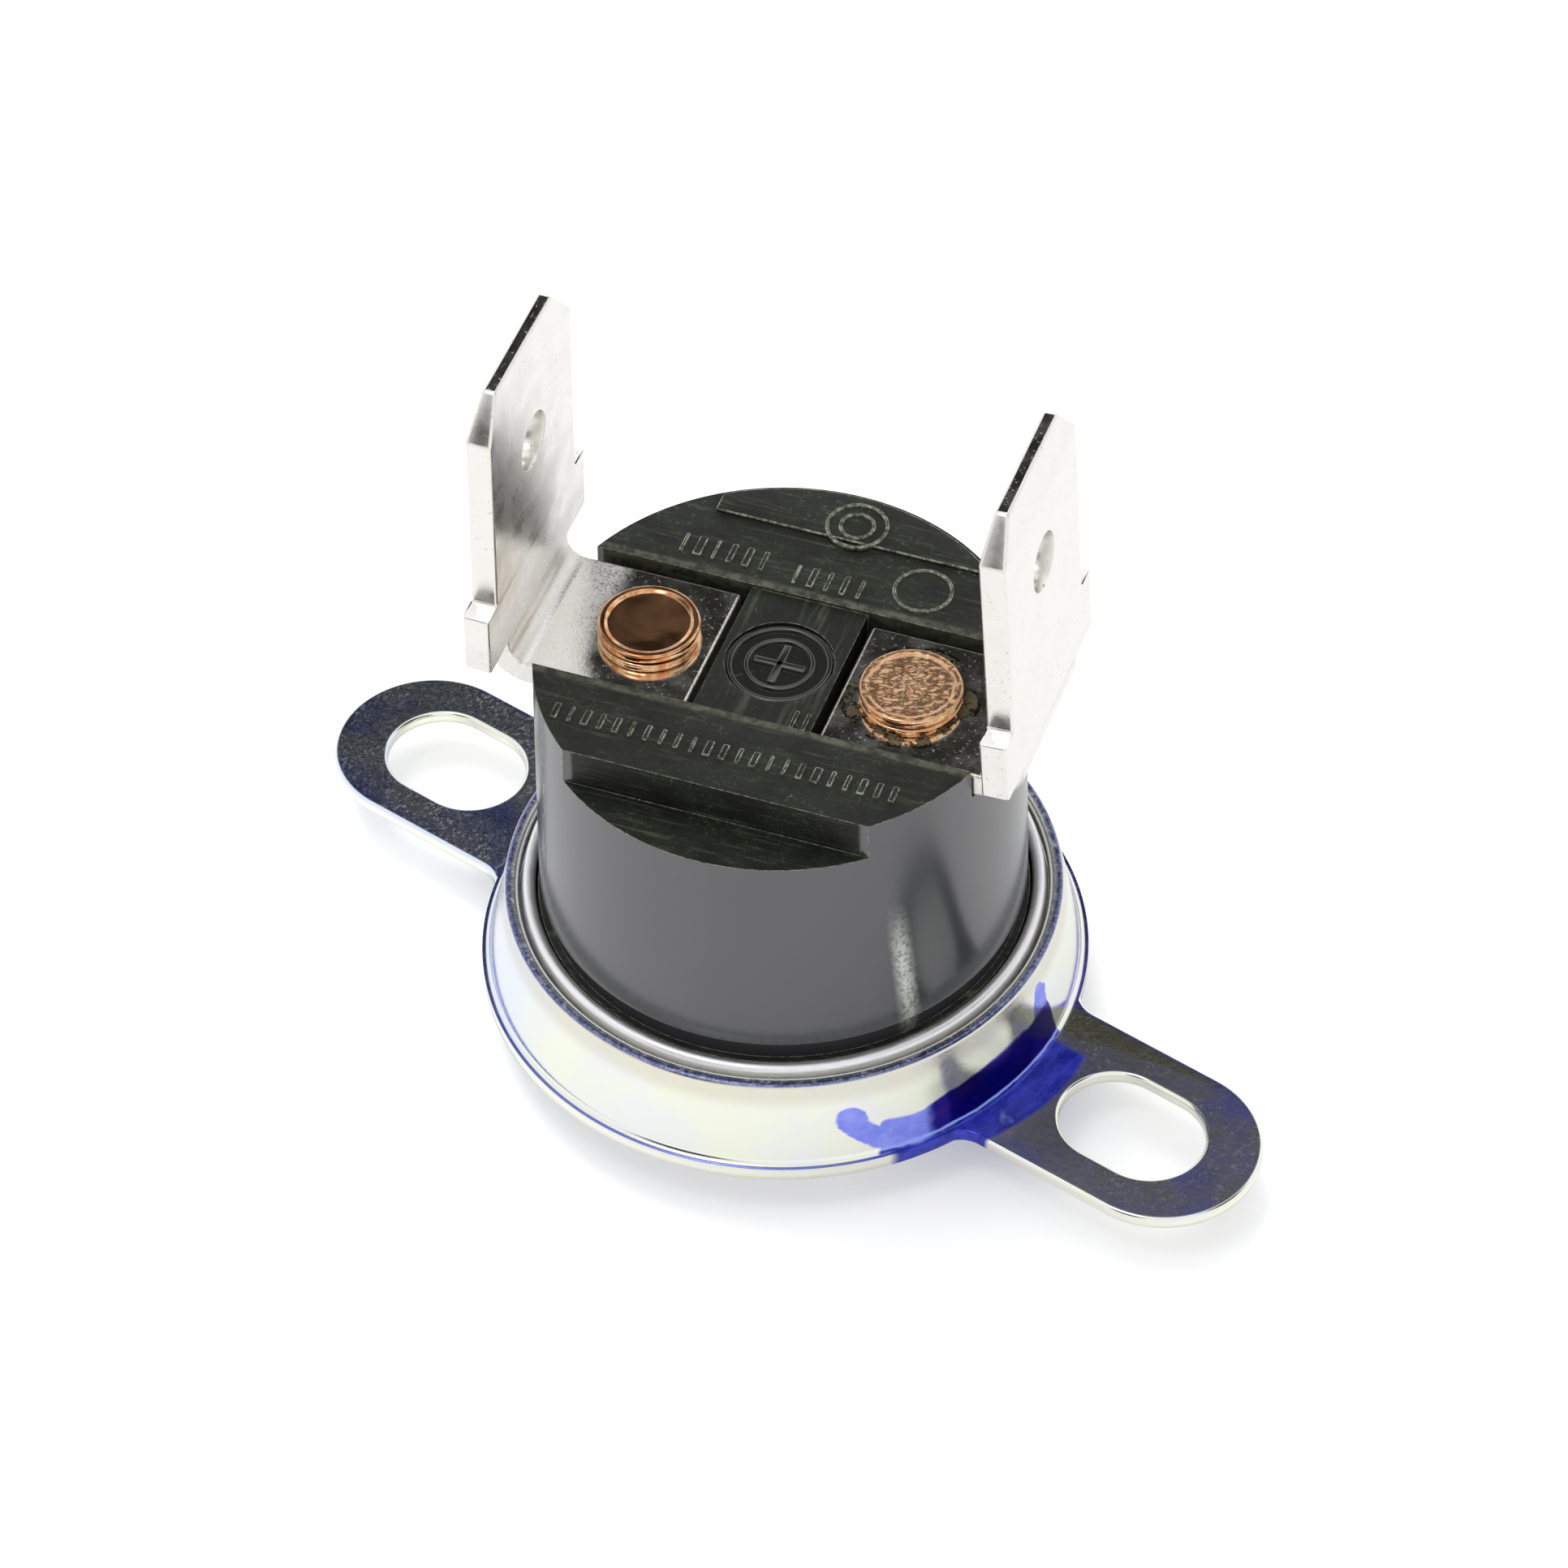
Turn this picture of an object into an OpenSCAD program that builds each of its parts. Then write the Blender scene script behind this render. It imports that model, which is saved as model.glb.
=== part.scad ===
// Oven vent thermostat: a half-inch snap-disc switch with two upright push-on tabs and a loose
// two-ear bracket. Millimetres, +Z up. The origin is the centre of the flat sensing face under
// the cap, and the bracket's two ears lie along X.

/* [Cap] */
// How far the cap's wall stands out from the top of the housing
cap_step = 0.95; // [0.9:0.05:1.3]
// Sheet thickness of the cap
cap_t = 0.4; // [0.3:0.05:0.6]
// Height of the cap's straight wall
cap_wall_h = 3.4; // [3.2:0.1:3.6]
// Outside radius of the cap's bottom corner
cap_corner_r = 0.6; // [0.5:0.1:1]
// Height of the rim that is rolled in over the housing
crimp_h = 1.5; // [1.3:0.1:1.7]
// How far the rolled rim leans in
crimp_lean = 0.3; // [0.2:0.01:0.36]

/* [Housing] */
// Diameter of the moulded housing at its top
housing_d = 14.4; // [13.5:0.1:14.6]
// Height of the housing's top above the sensing face
housing_top = 14.05; // [13:0.05:16]
// Growth in radius from the top down to the neck, for the mould's draft
housing_draft = 0.15; // [0:0.05:0.2]
// Height of the shaded neck above the cap's rim
neck_h = 0.7; // [0.4:0.1:1]
// Depth of the neck
neck_depth = 0.15; // [0.1:0.05:0.25]
// Distance from the axis to the flat that is cut on the front edge
flat_y = 5.5; // [5:0.1:6.2]
// Depth of that cut below the top
flat_depth = 1.28; // [0.6:0.02:2]
// Bevel round the housing's top edge
top_bevel = 0.12; // [0.05:0.01:0.3]
// Width of the bar that stays between the two terminals
bar_w = 3.6; // [3:0.1:3.8]
// How far the bar's top lies below the housing's top
bar_drop = 0.12; // [0:0.02:0.2]
// Diameter of the round medallion on the bar
medallion_d = 3.4; // [2.6:0.1:3.4]
// Width of the medallion's raised rings
medallion_ring_w = 0.14; // [0.1:0.01:0.3]
// Depth of the medallion's sunk floor
medallion_depth = 0.16; // [0.08:0.02:0.3]
// Left end of the raised land on the far segment
land_start = -3.9; // [-5:0.1:0]
// Length of that land
land_w = 9; // [5:0.1:9.5]
// Distance from the axis to the front of that land
land_y = 5.2; // [4.6:0.1:5.6]
// Height of that land
land_h = 0.1; // [0.05:0.01:0.2]

/* [Terminals] */
// Turn of the line of terminals against the bracket's ears, in degrees
terminal_turn = 16.8; // [-30:0.1:30]
// Thickness of the terminal strip
tab_t = 0.8; // [0.5:0.05:0.8]
// Width of the push-on tab
tab_w = 6.3; // [4.8:0.1:6.3]
// Height of the tabs' tips above the sensing face before the tabs lean
tab_top = 24.2; // [22:0.1:27]
// How far the outer face of the tab's foot stands out from the top of the housing
tab_overhang = 1.1; // [0.9:0.05:1.6]
// Inward lean of the left tab, in degrees
lean_left = 1; // [0:0.1:4]
// Inward lean of the right tab, in degrees
lean_right = 2.8; // [0:0.1:4]
// Width of the bevelled corners at the tab's tip
tip_bevel_w = 1; // [0.5:0.1:1.4]
// Height of the bevel at the tab's tip
tip_bevel_h = 1.25; // [0.8:0.05:1.6]
// Thickness left at the tab's tip
tip_t = 0.42; // [0.3:0.02:0.5]
// Diameter of the detent hole in the tab
detent_d = 1.8; // [1.4:0.1:2.2]
// Distance from the tab's tip down to the detent hole
detent_drop = 3.7; // [3.2:0.1:4.2]
// Width across the stop shoulders
shoulder_w = 7.7; // [7:0.1:8.4]
// Height of the stop shoulders
shoulder_h = 2.1; // [1.5:0.1:2.5]
// Distance from the tab's tip down to the top of the shoulders
shoulder_drop = 7.5; // [7:0.1:8]
// Width of the terminal's arm on the housing
arm_w = 4.8; // [4.2:0.1:5]
// Distance from the axis to the inner end of each arm
arm_end = 2.05; // [2:0.01:2.3]
// How far the arms lie below the housing's top
arm_drop = 0.25; // [0.1:0.05:0.5]
// Inner radius of the terminal's bend
bend_r = 0.6; // [0.4:0.1:0.8]
// Gap between an arm and the front wall of its channel
channel_gap_front = 0.1; // [0.05:0.05:0.2]
// Gap between an arm and the far wall of its channel
channel_gap_back = 0.25; // [0.05:0.05:0.4]

/* [Rivets] */
// Distance from the rim of the housing's top in to each rivet
rivet_inset = 3.15; // [2.9:0.05:3.3]
// Diameter of a rivet's shank
shank_d = 1.9; // [1.4:0.1:2]
// Diameter of a rivet's outer head
rivet_head_d = 3.08; // [2.8:0.02:3.3]
// Height of a rivet's outer head
rivet_head_h = 0.5; // [0.4:0.05:0.7]
// Depth of the groove round the outer head
rivet_groove = 0.1; // [0.05:0.01:0.15]
// Width of the raised rim on the outer head
rivet_rim_w = 0.22; // [0.15:0.01:0.3]
// Depth of the flat inside the raised rim
rivet_rim_h = 0.06; // [0.04:0.01:0.1]
// Diameter of a rivet's clenched head inside the housing
clench_d = 2.5; // [2.2:0.1:2.5]
// Height of the clenched head
clench_h = 0.45; // [0.3:0.05:0.6]
// Clearance round a rivet's shank
rivet_fit = 0.02; // [0.01:0.01:0.04]

/* [Bracket] */
// Sheet thickness of the loose bracket
bracket_t = 0.45; // [0.35:0.05:0.5]
// Height of the top of the bracket's ears above the sensing face
bracket_z = 1.95; // [1.8:0.05:2.1]
// Height of the drawn collar above the ears
collar_h = 2.8; // [2.7:0.05:2.9]
// Width of the flat lip inside the collar's round
lip_land = 0.03; // [0.01:0.01:0.2]
// Slope of the collar's wall from upright, in degrees
collar_slope = 12; // [9:1:12]
// Outer radius of the collar's rounded lip
lip_round = 0.48; // [0.47:0.01:0.5]
// Radius of the fillet at the collar's foot
foot_round = 0.2; // [0.1:0.05:0.2]
// Clearance between the bracket's hole and the rolled rim of the cap
bracket_play = 0.03; // [0.02:0.01:0.05]
// Width of the flat brim outside the fillet at the collar's foot
brim_w = 0.05; // [0.02:0.01:0.8]
// Distance between the centres of the two mounting slots
slot_spacing = 25.6; // [24.5:0.1:28]
// Width of a mounting slot
slot_w = 3.4; // [3:0.1:3.8]
// Length of a mounting slot
slot_len = 4.6; // [4.2:0.1:5.2]
// Width of an ear
ear_w = 6; // [5.6:0.1:7]
// Metal left between a slot and the ear's tip
ear_tip = 1.75; // [1.2:0.05:2.4]
// Radius of the fillets between the ears and the brim
ear_fillet = 0.9; // [0.5:0.1:1.5]

/* [Switch inside] */
// Play round the bimetal disc
disc_play = 0.3; // [0.1:0.05:0.5]
// Thickness of the bimetal disc
disc_t = 0.25; // [0.2:0.01:0.3]
// How far the disc is dished when cold
disc_dish = 0.4; // [0.3:0.01:0.5]
// Height of the guide plate's top above the sensing face
guide_top = 2.9; // [2.7:0.1:3]
// Thickness of the guide plate
guide_t = 1.15; // [0.9:0.05:1.3]
// Width of the guide plate's rim, which stands on the cap's floor
guide_rim_w = 1.05; // [0.8:0.05:1.1]
// Diameter of the ceramic push pin
pin_d = 1.9; // [1.6:0.1:2]
// Running clearance round the push pin
pin_fit = 0.05; // [0.03:0.01:0.08]
// Play at each end of the push pin
pin_play = 0.05; // [0.03:0.01:0.08]
// Height of the boss that guides the push pin
guide_boss_h = 1.2; // [0.6:0.1:1.6]
// Wall of that boss
guide_boss_w = 0.7; // [0.5:0.1:0.8]
// Height of the roof of the contact cavity
cavity_top = 9.8; // [9.4:0.1:10.2]
// Room left in the contact cavity outside each rivet's clenched head
cavity_room = 0.65; // [0.4:0.05:0.8]
// Width of the contact cavity
cavity_w = 3.8; // [3.5:0.1:3.9]
// Width of the contact spring and of the fixed plate
strip_w = 2.8; // [2.6:0.1:3]
// Thickness of the contact spring
spring_t = 0.25; // [0.2:0.05:0.3]
// How far the contact spring steps down from its foot
spring_step = 1.3; // [1.2:0.1:1.4]
// Thickness of the fixed contact plate
plate_t = 0.4; // [0.35:0.05:0.5]
// Diameter of the two contacts
contact_d = 1.5; // [1.3:0.1:1.5]
// Height of each contact
contact_h = 0.5; // [0.4:0.05:0.6]
// Distance from the axis to the contacts
contact_x = 1.85; // [1.8:0.05:1.95]
// Strip left round each contact
contact_edge = 0.05; // [0.02:0.01:0.1]
// Gap between the strips and the ends of the contact cavity
strip_gap = 0.25; // [0.1:0.05:0.4]
// Gap between the right rivet's clenched head and the spring's bend
bend_gap = 0.15; // [0.05:0.05:0.2]
// Share of its step that the spring's slope covers sideways
spring_slope = 0.6; // [0.4:0.1:0.8]

/* [Hidden] */
$fn = 64;

// Slack that lets a cutting solid run past the face it cuts
past = 0.5;
// Clearance between parts that are assembled face to face round an edge
seat_gap = 0.04;

housing_r = housing_d / 2;
cap_r = housing_r + cap_step;
cap_in_r = cap_r - cap_t;
cap_floor = cap_t;
crimp_top = cap_wall_h + crimp_h;

housing_foot_r = housing_r + housing_draft;
flange_r = cap_in_r - seat_gap;
flange_top = cap_wall_h + crimp_h - cap_t / 2;
neck_top = flange_top + neck_h;
neck_r = housing_foot_r - neck_depth;

arm_top = housing_top - arm_drop;
arm_floor = arm_top - tab_t;
bar_top = housing_top - bar_drop;

rivet_x = housing_r - rivet_inset;
bend_x = housing_r + tab_overhang - tab_t - bend_r;
bend_z = arm_top + bend_r;
// Sizes up the leaning tab are measured along it from the bend's centre
tab_len = tab_top - bend_z;
shoulder_hi = tab_len - shoulder_drop;
shoulder_lo = shoulder_hi - shoulder_h;
detent_z = tab_len - detent_drop;

cavity_len = 2 * rivet_x + clench_d + 2 * cavity_room;
spring_foot = cavity_top - spring_t;
spring_z = spring_foot - spring_step;
moving_z = spring_z - contact_h;
fixed_z = moving_z - contact_h;
plate_z = fixed_z - plate_t;
plate_end = contact_x - contact_d / 2 - contact_edge;
spring_end = contact_x + contact_d / 2 + contact_edge;
spring_bend_x = rivet_x - clench_d / 2 - bend_gap;
cavity_side = cavity_len / 2 - strip_gap;

disc_seat = cap_floor + disc_t;
pin_lo = disc_seat + pin_play;
pin_hi = spring_z - pin_play;
guide_r = cap_in_r - seat_gap;
guide_under = guide_top - guide_t;
disc_r = guide_r - guide_rim_w - disc_play;

bracket_under = bracket_z - bracket_t;
lip_top = bracket_z + collar_h;
// Radius of the leaning rim of the cap at the height of the lip's underside
rim_at_lip = cap_r - crimp_lean * (lip_top - bracket_t - cap_wall_h) / crimp_h;
bracket_hole_r = rim_at_lip + bracket_play;
lip_c = [bracket_hole_r + lip_land, lip_top - lip_round];
collar_foot_r = lip_c.x
    + (lip_round + foot_round + (collar_h - lip_round - foot_round) * sin(collar_slope))
    / cos(collar_slope);
foot_c = [collar_foot_r, bracket_z + foot_round];
rim_r = collar_foot_r + brim_w;
// How far the fillets of the ears cut into the brim, so that they cross its edge
root_bite = brim_w / 5;
slot_x = slot_spacing / 2;
ear_end = slot_x + slot_len / 2 + ear_tip;

// Points along an arc from angle a to angle b, round the centre c
function arc(c, r, a, b, steps = 10) =
    [for (i = [0:steps]) let (t = a + (b - a) * i / steps) c + r * [cos(t), sin(t)]];

// Places a child in the frame of the terminals, which are turned against the ears
module turned() {
    rotate([0, 0, terminal_turn]) children();
}

// A bar with half-round ends along X, standing on the plane z = 0
module slot_shape(length, width, height) {
    end_x = length / 2 - width / 2;
    translate([-end_x, -width / 2, 0]) cube([2 * end_x, width, height]);
    for (x = [-end_x, end_x]) translate([x, 0, 0]) cylinder(d = width, h = height);
}

// A strip bent from points in the XZ plane and centred across Y
module strip(points, width) {
    translate([0, width / 2, 0]) rotate([90, 0, 0])
        linear_extrude(width) polygon(points);
}

// Aluminium cup with a rounded bottom corner, its rim rolled in over the housing's flange
module cap() {
    corner = [cap_r - cap_corner_r, cap_corner_r];
    end_c = [cap_r - crimp_lean - cap_t / 2, crimp_top - cap_t / 2];
    color("silver") rotate_extrude() polygon(concat(
        [[0, 0]],
        arc(corner, cap_corner_r, -90, 0),
        [[cap_r, cap_wall_h]],
        arc(end_c, cap_t / 2, 0, 180),
        [[cap_in_r, cap_wall_h]],
        arc(corner, cap_corner_r - cap_t, 0, -90),
        [[0, cap_floor]]
    ));
}

// Thin dished disc of two bonded metals, its middle resting on the cap's floor
module bimetal_disc() {
    steps = 8;
    rise = [for (i = [0:steps]) let (r = disc_r * i / steps) [r, disc_dish * pow(i / steps, 2)]];
    color("darkgray") translate([0, 0, cap_floor]) rotate_extrude() polygon(concat(
        [for (p = rise) p],
        [for (i = [steps:-1:0]) rise[i] + [0, disc_t]]
    ));
}

// Moulded plate between the disc and the housing, with the push pin's guide boss
module guide_plate() {
    color("sienna") difference() {
        union() {
            translate([0, 0, cap_floor]) cylinder(r = guide_r - cap_corner_r / 2, h = cap_corner_r);
            translate([0, 0, cap_corner_r]) cylinder(r = guide_r, h = guide_top - cap_corner_r);
            translate([0, 0, guide_under])
                cylinder(d = pin_d + 2 * (pin_fit + guide_boss_w), h = guide_t + guide_boss_h);
        }
        translate([0, 0, cap_floor - past])
            cylinder(r = guide_r - guide_rim_w, h = guide_under - cap_floor + past);
        cylinder(r = pin_d / 2 + pin_fit, h = guide_top + guide_boss_h + past);
    }
}

// Ceramic pin that carries the disc's snap up to the contact spring
module push_pin() {
    bevel = pin_d / 8;
    color("ivory") rotate_extrude() polygon([
        [0, pin_lo], [pin_d / 2 - bevel, pin_lo], [pin_d / 2, pin_lo + bevel],
        [pin_d / 2, pin_hi - bevel], [pin_d / 2 - bevel, pin_hi], [0, pin_hi]
    ]);
}

// Round body of the moulding, from the flange in the cap up to the bevelled top edge
module housing_body() {
    rotate_extrude() polygon([
        [0, guide_top], [flange_r, guide_top], [flange_r, cap_wall_h - seat_gap],
        [flange_r - crimp_lean, flange_top], [neck_r, flange_top], [neck_r, neck_top - neck_depth],
        [housing_foot_r, neck_top], [housing_r, housing_top - top_bevel],
        [housing_r - top_bevel, housing_top], [0, housing_top]
    ]);
}

// Channel for the two arms, right across the top on either side of the bar
module arm_channel() {
    front = arm_w / 2 + channel_gap_front;
    back = arm_w / 2 + channel_gap_back;
    reach = housing_foot_r + past;
    for (side = [-1, 1])
        translate([side > 0 ? bar_w / 2 : -reach, -front, arm_floor])
            cube([reach - bar_w / 2, front + back, tab_t + arm_drop + past]);
    translate([-bar_w / 2 - past, -front, bar_top])
        cube([bar_w + 2 * past, front + back, bar_drop + past]);
}

// Sunk floor of the medallion, with a ring left standing inside it
module medallion() {
    inner = medallion_d / 2 - 4 * medallion_ring_w;
    translate([0, 0, bar_top - medallion_depth]) difference() {
        cylinder(d = medallion_d - 2 * medallion_ring_w, h = medallion_depth + past);
        difference() {
            translate([0, 0, -past]) cylinder(r = inner, h = medallion_depth / 2 + past);
            translate([0, 0, -past]) cylinder(r = inner - medallion_ring_w, h = 3 * past);
        }
    }
}

// Black moulded housing: arm channel, bar, flat and ledge above, contact cavity below
module housing() {
    color("dimgray") turned() difference() {
        union() {
            housing_body();
            intersection() {
                translate([0, 0, housing_top - past])
                    cylinder(r = housing_r - top_bevel, h = past + land_h);
                translate([land_start, land_y, housing_top - past])
                    cube([land_w, housing_r, 2 * past]);
            }
        }
        arm_channel();
        medallion();
        translate([-housing_r - past, -flat_y - housing_r, housing_top - flat_depth])
            cube([2 * (housing_r + past), housing_r, flat_depth + past]);
        for (side = [-1, 1]) translate([side * rivet_x, 0, cavity_top - past])
            cylinder(r = shank_d / 2 + rivet_fit, h = housing_top);
        translate([-cavity_len / 2, -cavity_w / 2, guide_top - past])
            cube([cavity_len, cavity_w, cavity_top - guide_top + past]);
        translate([0, 0, guide_top - past])
            cylinder(d = pin_d + 2 * (pin_fit + guide_boss_w + seat_gap),
                     h = guide_boss_h + seat_gap + past);
    }
}

// Strip under the left rivet, folded down and back to carry the fixed contact
module fixed_contact_plate() {
    foot = cavity_top - plate_t;
    color("goldenrod") turned() difference() {
        strip([
            [-rivet_x + clench_d / 2, cavity_top], [-cavity_side, cavity_top],
            [-cavity_side, plate_z], [-plate_end, plate_z], [-plate_end, fixed_z],
            [-cavity_side + plate_t, fixed_z], [-cavity_side + plate_t, foot],
            [-rivet_x + clench_d / 2, foot]
        ], strip_w);
        translate([-rivet_x, 0, foot - past])
            cylinder(r = shank_d / 2 + rivet_fit, h = plate_t + 2 * past);
    }
}

// One round contact; its lower face is at z
module contact(z) {
    turned() translate([-contact_x, 0, z]) cylinder(d = contact_d, h = contact_h);
}

module fixed_contact() {
    color("whitesmoke") contact(fixed_z);
}

module moving_contact() {
    color("whitesmoke") contact(moving_z);
}

// Leaf spring: its foot is held by the right rivet, its arm reaches over the pin to the contacts
module contact_spring() {
    slope = spring_step * spring_slope;
    color("peru") turned() difference() {
        strip([
            [cavity_side, cavity_top], [spring_bend_x - spring_t / 2, cavity_top],
            [spring_bend_x - slope - spring_t / 2, spring_z + spring_t],
            [-spring_end, spring_z + spring_t], [-spring_end, spring_z],
            [spring_bend_x - slope + spring_t / 2, spring_z],
            [spring_bend_x + spring_t / 2, spring_foot], [cavity_side, spring_foot]
        ], strip_w);
        translate([rivet_x, 0, spring_foot - past])
            cylinder(r = shank_d / 2 + rivet_fit, h = spring_t + 2 * past);
    }
}

// Outline of the upright tab, from the bend up: neck, stop shoulders, blade and bevelled tip
module tab_outline() {
    neck = arm_w / 2;
    wide = shoulder_w / 2;
    blade = tab_w / 2;
    tip = blade - tip_bevel_w;
    polygon([
        [-neck, 0], [neck, 0], [neck, shoulder_lo], [wide, shoulder_lo], [wide, shoulder_hi],
        [blade, shoulder_hi], [blade, tab_len - tip_bevel_h], [tip, tab_len],
        [-tip, tab_len], [-blade, tab_len - tip_bevel_h], [-blade, shoulder_hi],
        [-wide, shoulder_hi], [-wide, shoulder_lo], [-neck, shoulder_lo]
    ]);
}

// The tab as a plate with its inner face at x = bend_r, both faces bevelled at the tip
module tab_blade() {
    thin = (tab_t - tip_t) / 2;
    difference() {
        translate([bend_r, 0, 0]) rotate([90, 0, 90]) linear_extrude(tab_t) tab_outline();
        translate([bend_r - past, 0, detent_z]) rotate([0, 90, 0])
            cylinder(d = detent_d, h = tab_t + 2 * past);
        for (face = [0, 1]) translate([bend_r + face * tab_t, 0, tab_len - tip_bevel_h])
            strip([[0, 0], [face > 0 ? -thin : thin, tip_bevel_h],
                   [face > 0 ? past : -past, tip_bevel_h], [face > 0 ? past : -past, 0]],
                  tab_w + 2 * past);
    }
}

// One terminal on the right: arm with its rivet hole, round bend and upright tab
module terminal(lean) {
    difference() {
        translate([arm_end, -arm_w / 2, arm_floor]) cube([bend_x - arm_end, arm_w, tab_t]);
        translate([rivet_x, 0, arm_floor - past])
            cylinder(r = shank_d / 2 + rivet_fit, h = tab_t + 2 * past);
    }
    translate([bend_x, 0, bend_z]) {
        rotate([0, 90, 0]) rotate([90, 0, 0]) rotate_extrude(angle = 90 + lean)
            translate([bend_r, -arm_w / 2]) square([tab_t, arm_w]);
        rotate([0, -lean, 0]) tab_blade();
    }
}

module terminal_left() {
    color("gainsboro") turned() rotate([0, 0, 180]) terminal(lean_left);
}

module terminal_right() {
    color("gainsboro") turned() terminal(lean_right);
}

// One copper rivet at the axis; held is the thickness that its inner head clamps to the roof
module rivet(held) {
    head = rivet_head_d / 2;
    groove = head - rivet_groove;
    edge = rivet_head_h / 10;
    top = arm_top + rivet_head_h;
    clench = cavity_top - held;
    color("chocolate") rotate_extrude() polygon([
        [0, clench - clench_h], [clench_d / 2 - edge, clench - clench_h],
        [clench_d / 2, clench - clench_h + edge], [clench_d / 2, clench], [shank_d / 2, clench],
        [shank_d / 2, arm_top], [head - edge, arm_top], [head, arm_top + edge],
        [head, arm_top + 3 * edge], [groove, arm_top + 4 * edge], [groove, top - 5 * edge],
        [head, top - 4 * edge], [head, top - edge], [head - edge, top],
        [head - rivet_rim_w, top], [head - rivet_rim_w - edge, top - rivet_rim_h],
        [0, top - rivet_rim_h]
    ]);
}

module rivet_left() {
    turned() translate([-rivet_x, 0, 0]) rivet(plate_t);
}

module rivet_right() {
    turned() translate([rivet_x, 0, 0]) rivet(spring_t);
}

// Section of the drawn ring: rounded lip, sloping collar wall, foot fillet and narrow brim
module collar() {
    turn = collar_slope;
    rotate_extrude($fn = 96) polygon(concat(
        [[bracket_hole_r, lip_top]],
        arc(lip_c, lip_round, 88, turn),
        arc(foot_c, foot_round, 180 + turn, 270),
        [[rim_r, bracket_z], [rim_r, bracket_under]],
        arc(foot_c, foot_round + bracket_t, 270, 180 + turn),
        arc(lip_c, lip_round - bracket_t, turn, 88, 3),
        [[bracket_hole_r, lip_top - bracket_t]]
    ));
}

// Fillet between the brim's edge and the straight side of an ear, in the first quadrant
module ear_root() {
    side = ear_w / 2;
    reach = rim_r + ear_fillet - root_bite;
    c = [sqrt(pow(reach, 2) - pow(side + ear_fillet, 2)), side + ear_fillet];
    difference() {
        linear_extrude(bracket_t)
            polygon([[sqrt(rim_r * rim_r - side * side) - past, side - past], [c.x, side - past],
                     [c.x, side], c, c * (collar_foot_r - past) / reach]);
        translate([c.x, c.y, -past]) cylinder(r = ear_fillet, h = bracket_t + 2 * past);
    }
}

// Loose bracket of plated steel: drawn ring with two slotted ears
module mounting_bracket() {
    side = ear_w / 2;
    ear_start = sqrt(collar_foot_r * collar_foot_r - side * side) - past;
    color("lightsteelblue") {
        difference() {
            translate([0, 0, bracket_under]) {
                for (turn = [0, 180]) rotate([0, 0, turn]) {
                    translate([ear_start, -side, 0])
                        cube([ear_end - side - ear_start, ear_w, bracket_t]);
                    translate([ear_end - side, 0, 0]) cylinder(r = side, h = bracket_t);
                    ear_root();
                    mirror([0, 1, 0]) ear_root();
                }
            }
            translate([0, 0, bracket_under - past])
                cylinder(r = collar_foot_r + brim_w / 2, h = bracket_t + 2 * past);
            for (x = [-slot_x, slot_x]) translate([x, 0, bracket_under - past])
                slot_shape(slot_len, slot_w, bracket_t + 2 * past);
        }
        collar();
    }
}

cap();
bimetal_disc();
guide_plate();
push_pin();
housing();
fixed_contact_plate();
fixed_contact();
contact_spring();
moving_contact();
terminal_left();
terminal_right();
rivet_left();
rivet_right();
mounting_bracket();
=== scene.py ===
"""Looks of the oven vent thermostat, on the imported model. Lengths and places are in mm until a
mesh or a bump takes them."""

from math import atan2, cos, degrees, pi, radians, sin, sqrt, tan

import bmesh
import bpy
from mathutils import Matrix, Vector


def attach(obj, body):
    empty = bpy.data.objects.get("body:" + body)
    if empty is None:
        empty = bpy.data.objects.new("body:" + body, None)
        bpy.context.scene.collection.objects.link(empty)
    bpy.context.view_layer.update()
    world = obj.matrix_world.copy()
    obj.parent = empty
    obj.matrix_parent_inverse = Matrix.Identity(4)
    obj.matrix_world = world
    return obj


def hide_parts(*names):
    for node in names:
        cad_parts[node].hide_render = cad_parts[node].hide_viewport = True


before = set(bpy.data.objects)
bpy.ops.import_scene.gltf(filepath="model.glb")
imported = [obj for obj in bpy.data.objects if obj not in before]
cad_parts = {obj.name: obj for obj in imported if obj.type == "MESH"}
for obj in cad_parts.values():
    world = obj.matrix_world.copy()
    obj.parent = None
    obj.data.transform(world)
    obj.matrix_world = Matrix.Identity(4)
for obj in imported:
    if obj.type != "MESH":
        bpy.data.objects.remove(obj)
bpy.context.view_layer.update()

MM = 0.001
ROUND_STEPS = 192
TERMINAL_TURN, ARM_TOP = radians(16.8), 13.8
EAR_TOP, COLLAR_H, HOLE_R = 1.95, 2.8, 8.0
RIVET_X, HEAD_R, HEAD_H = 4.05, 1.54, 0.5
# Height of the groove round a rivet's head, above the arm
GROOVE = 0.18


def new_object(name, data):
    ob = bpy.data.objects.new(name, data)
    bpy.context.scene.collection.objects.link(ob)
    return ob


# Camera, at the photograph's angle

CAM_AZIMUTH, CAM_ELEVATION, CAM_ROLL = radians(37.43), radians(46.42), radians(-1.163)
CAM_DISTANCE, CAM_AIM = 194.75, Vector((0.046, 0.035, 8.76))
CAM_SENSOR, CAM_LENS, CAM_NEAR, CAM_FAR = 36, 150.61, 0.01, 10


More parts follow.
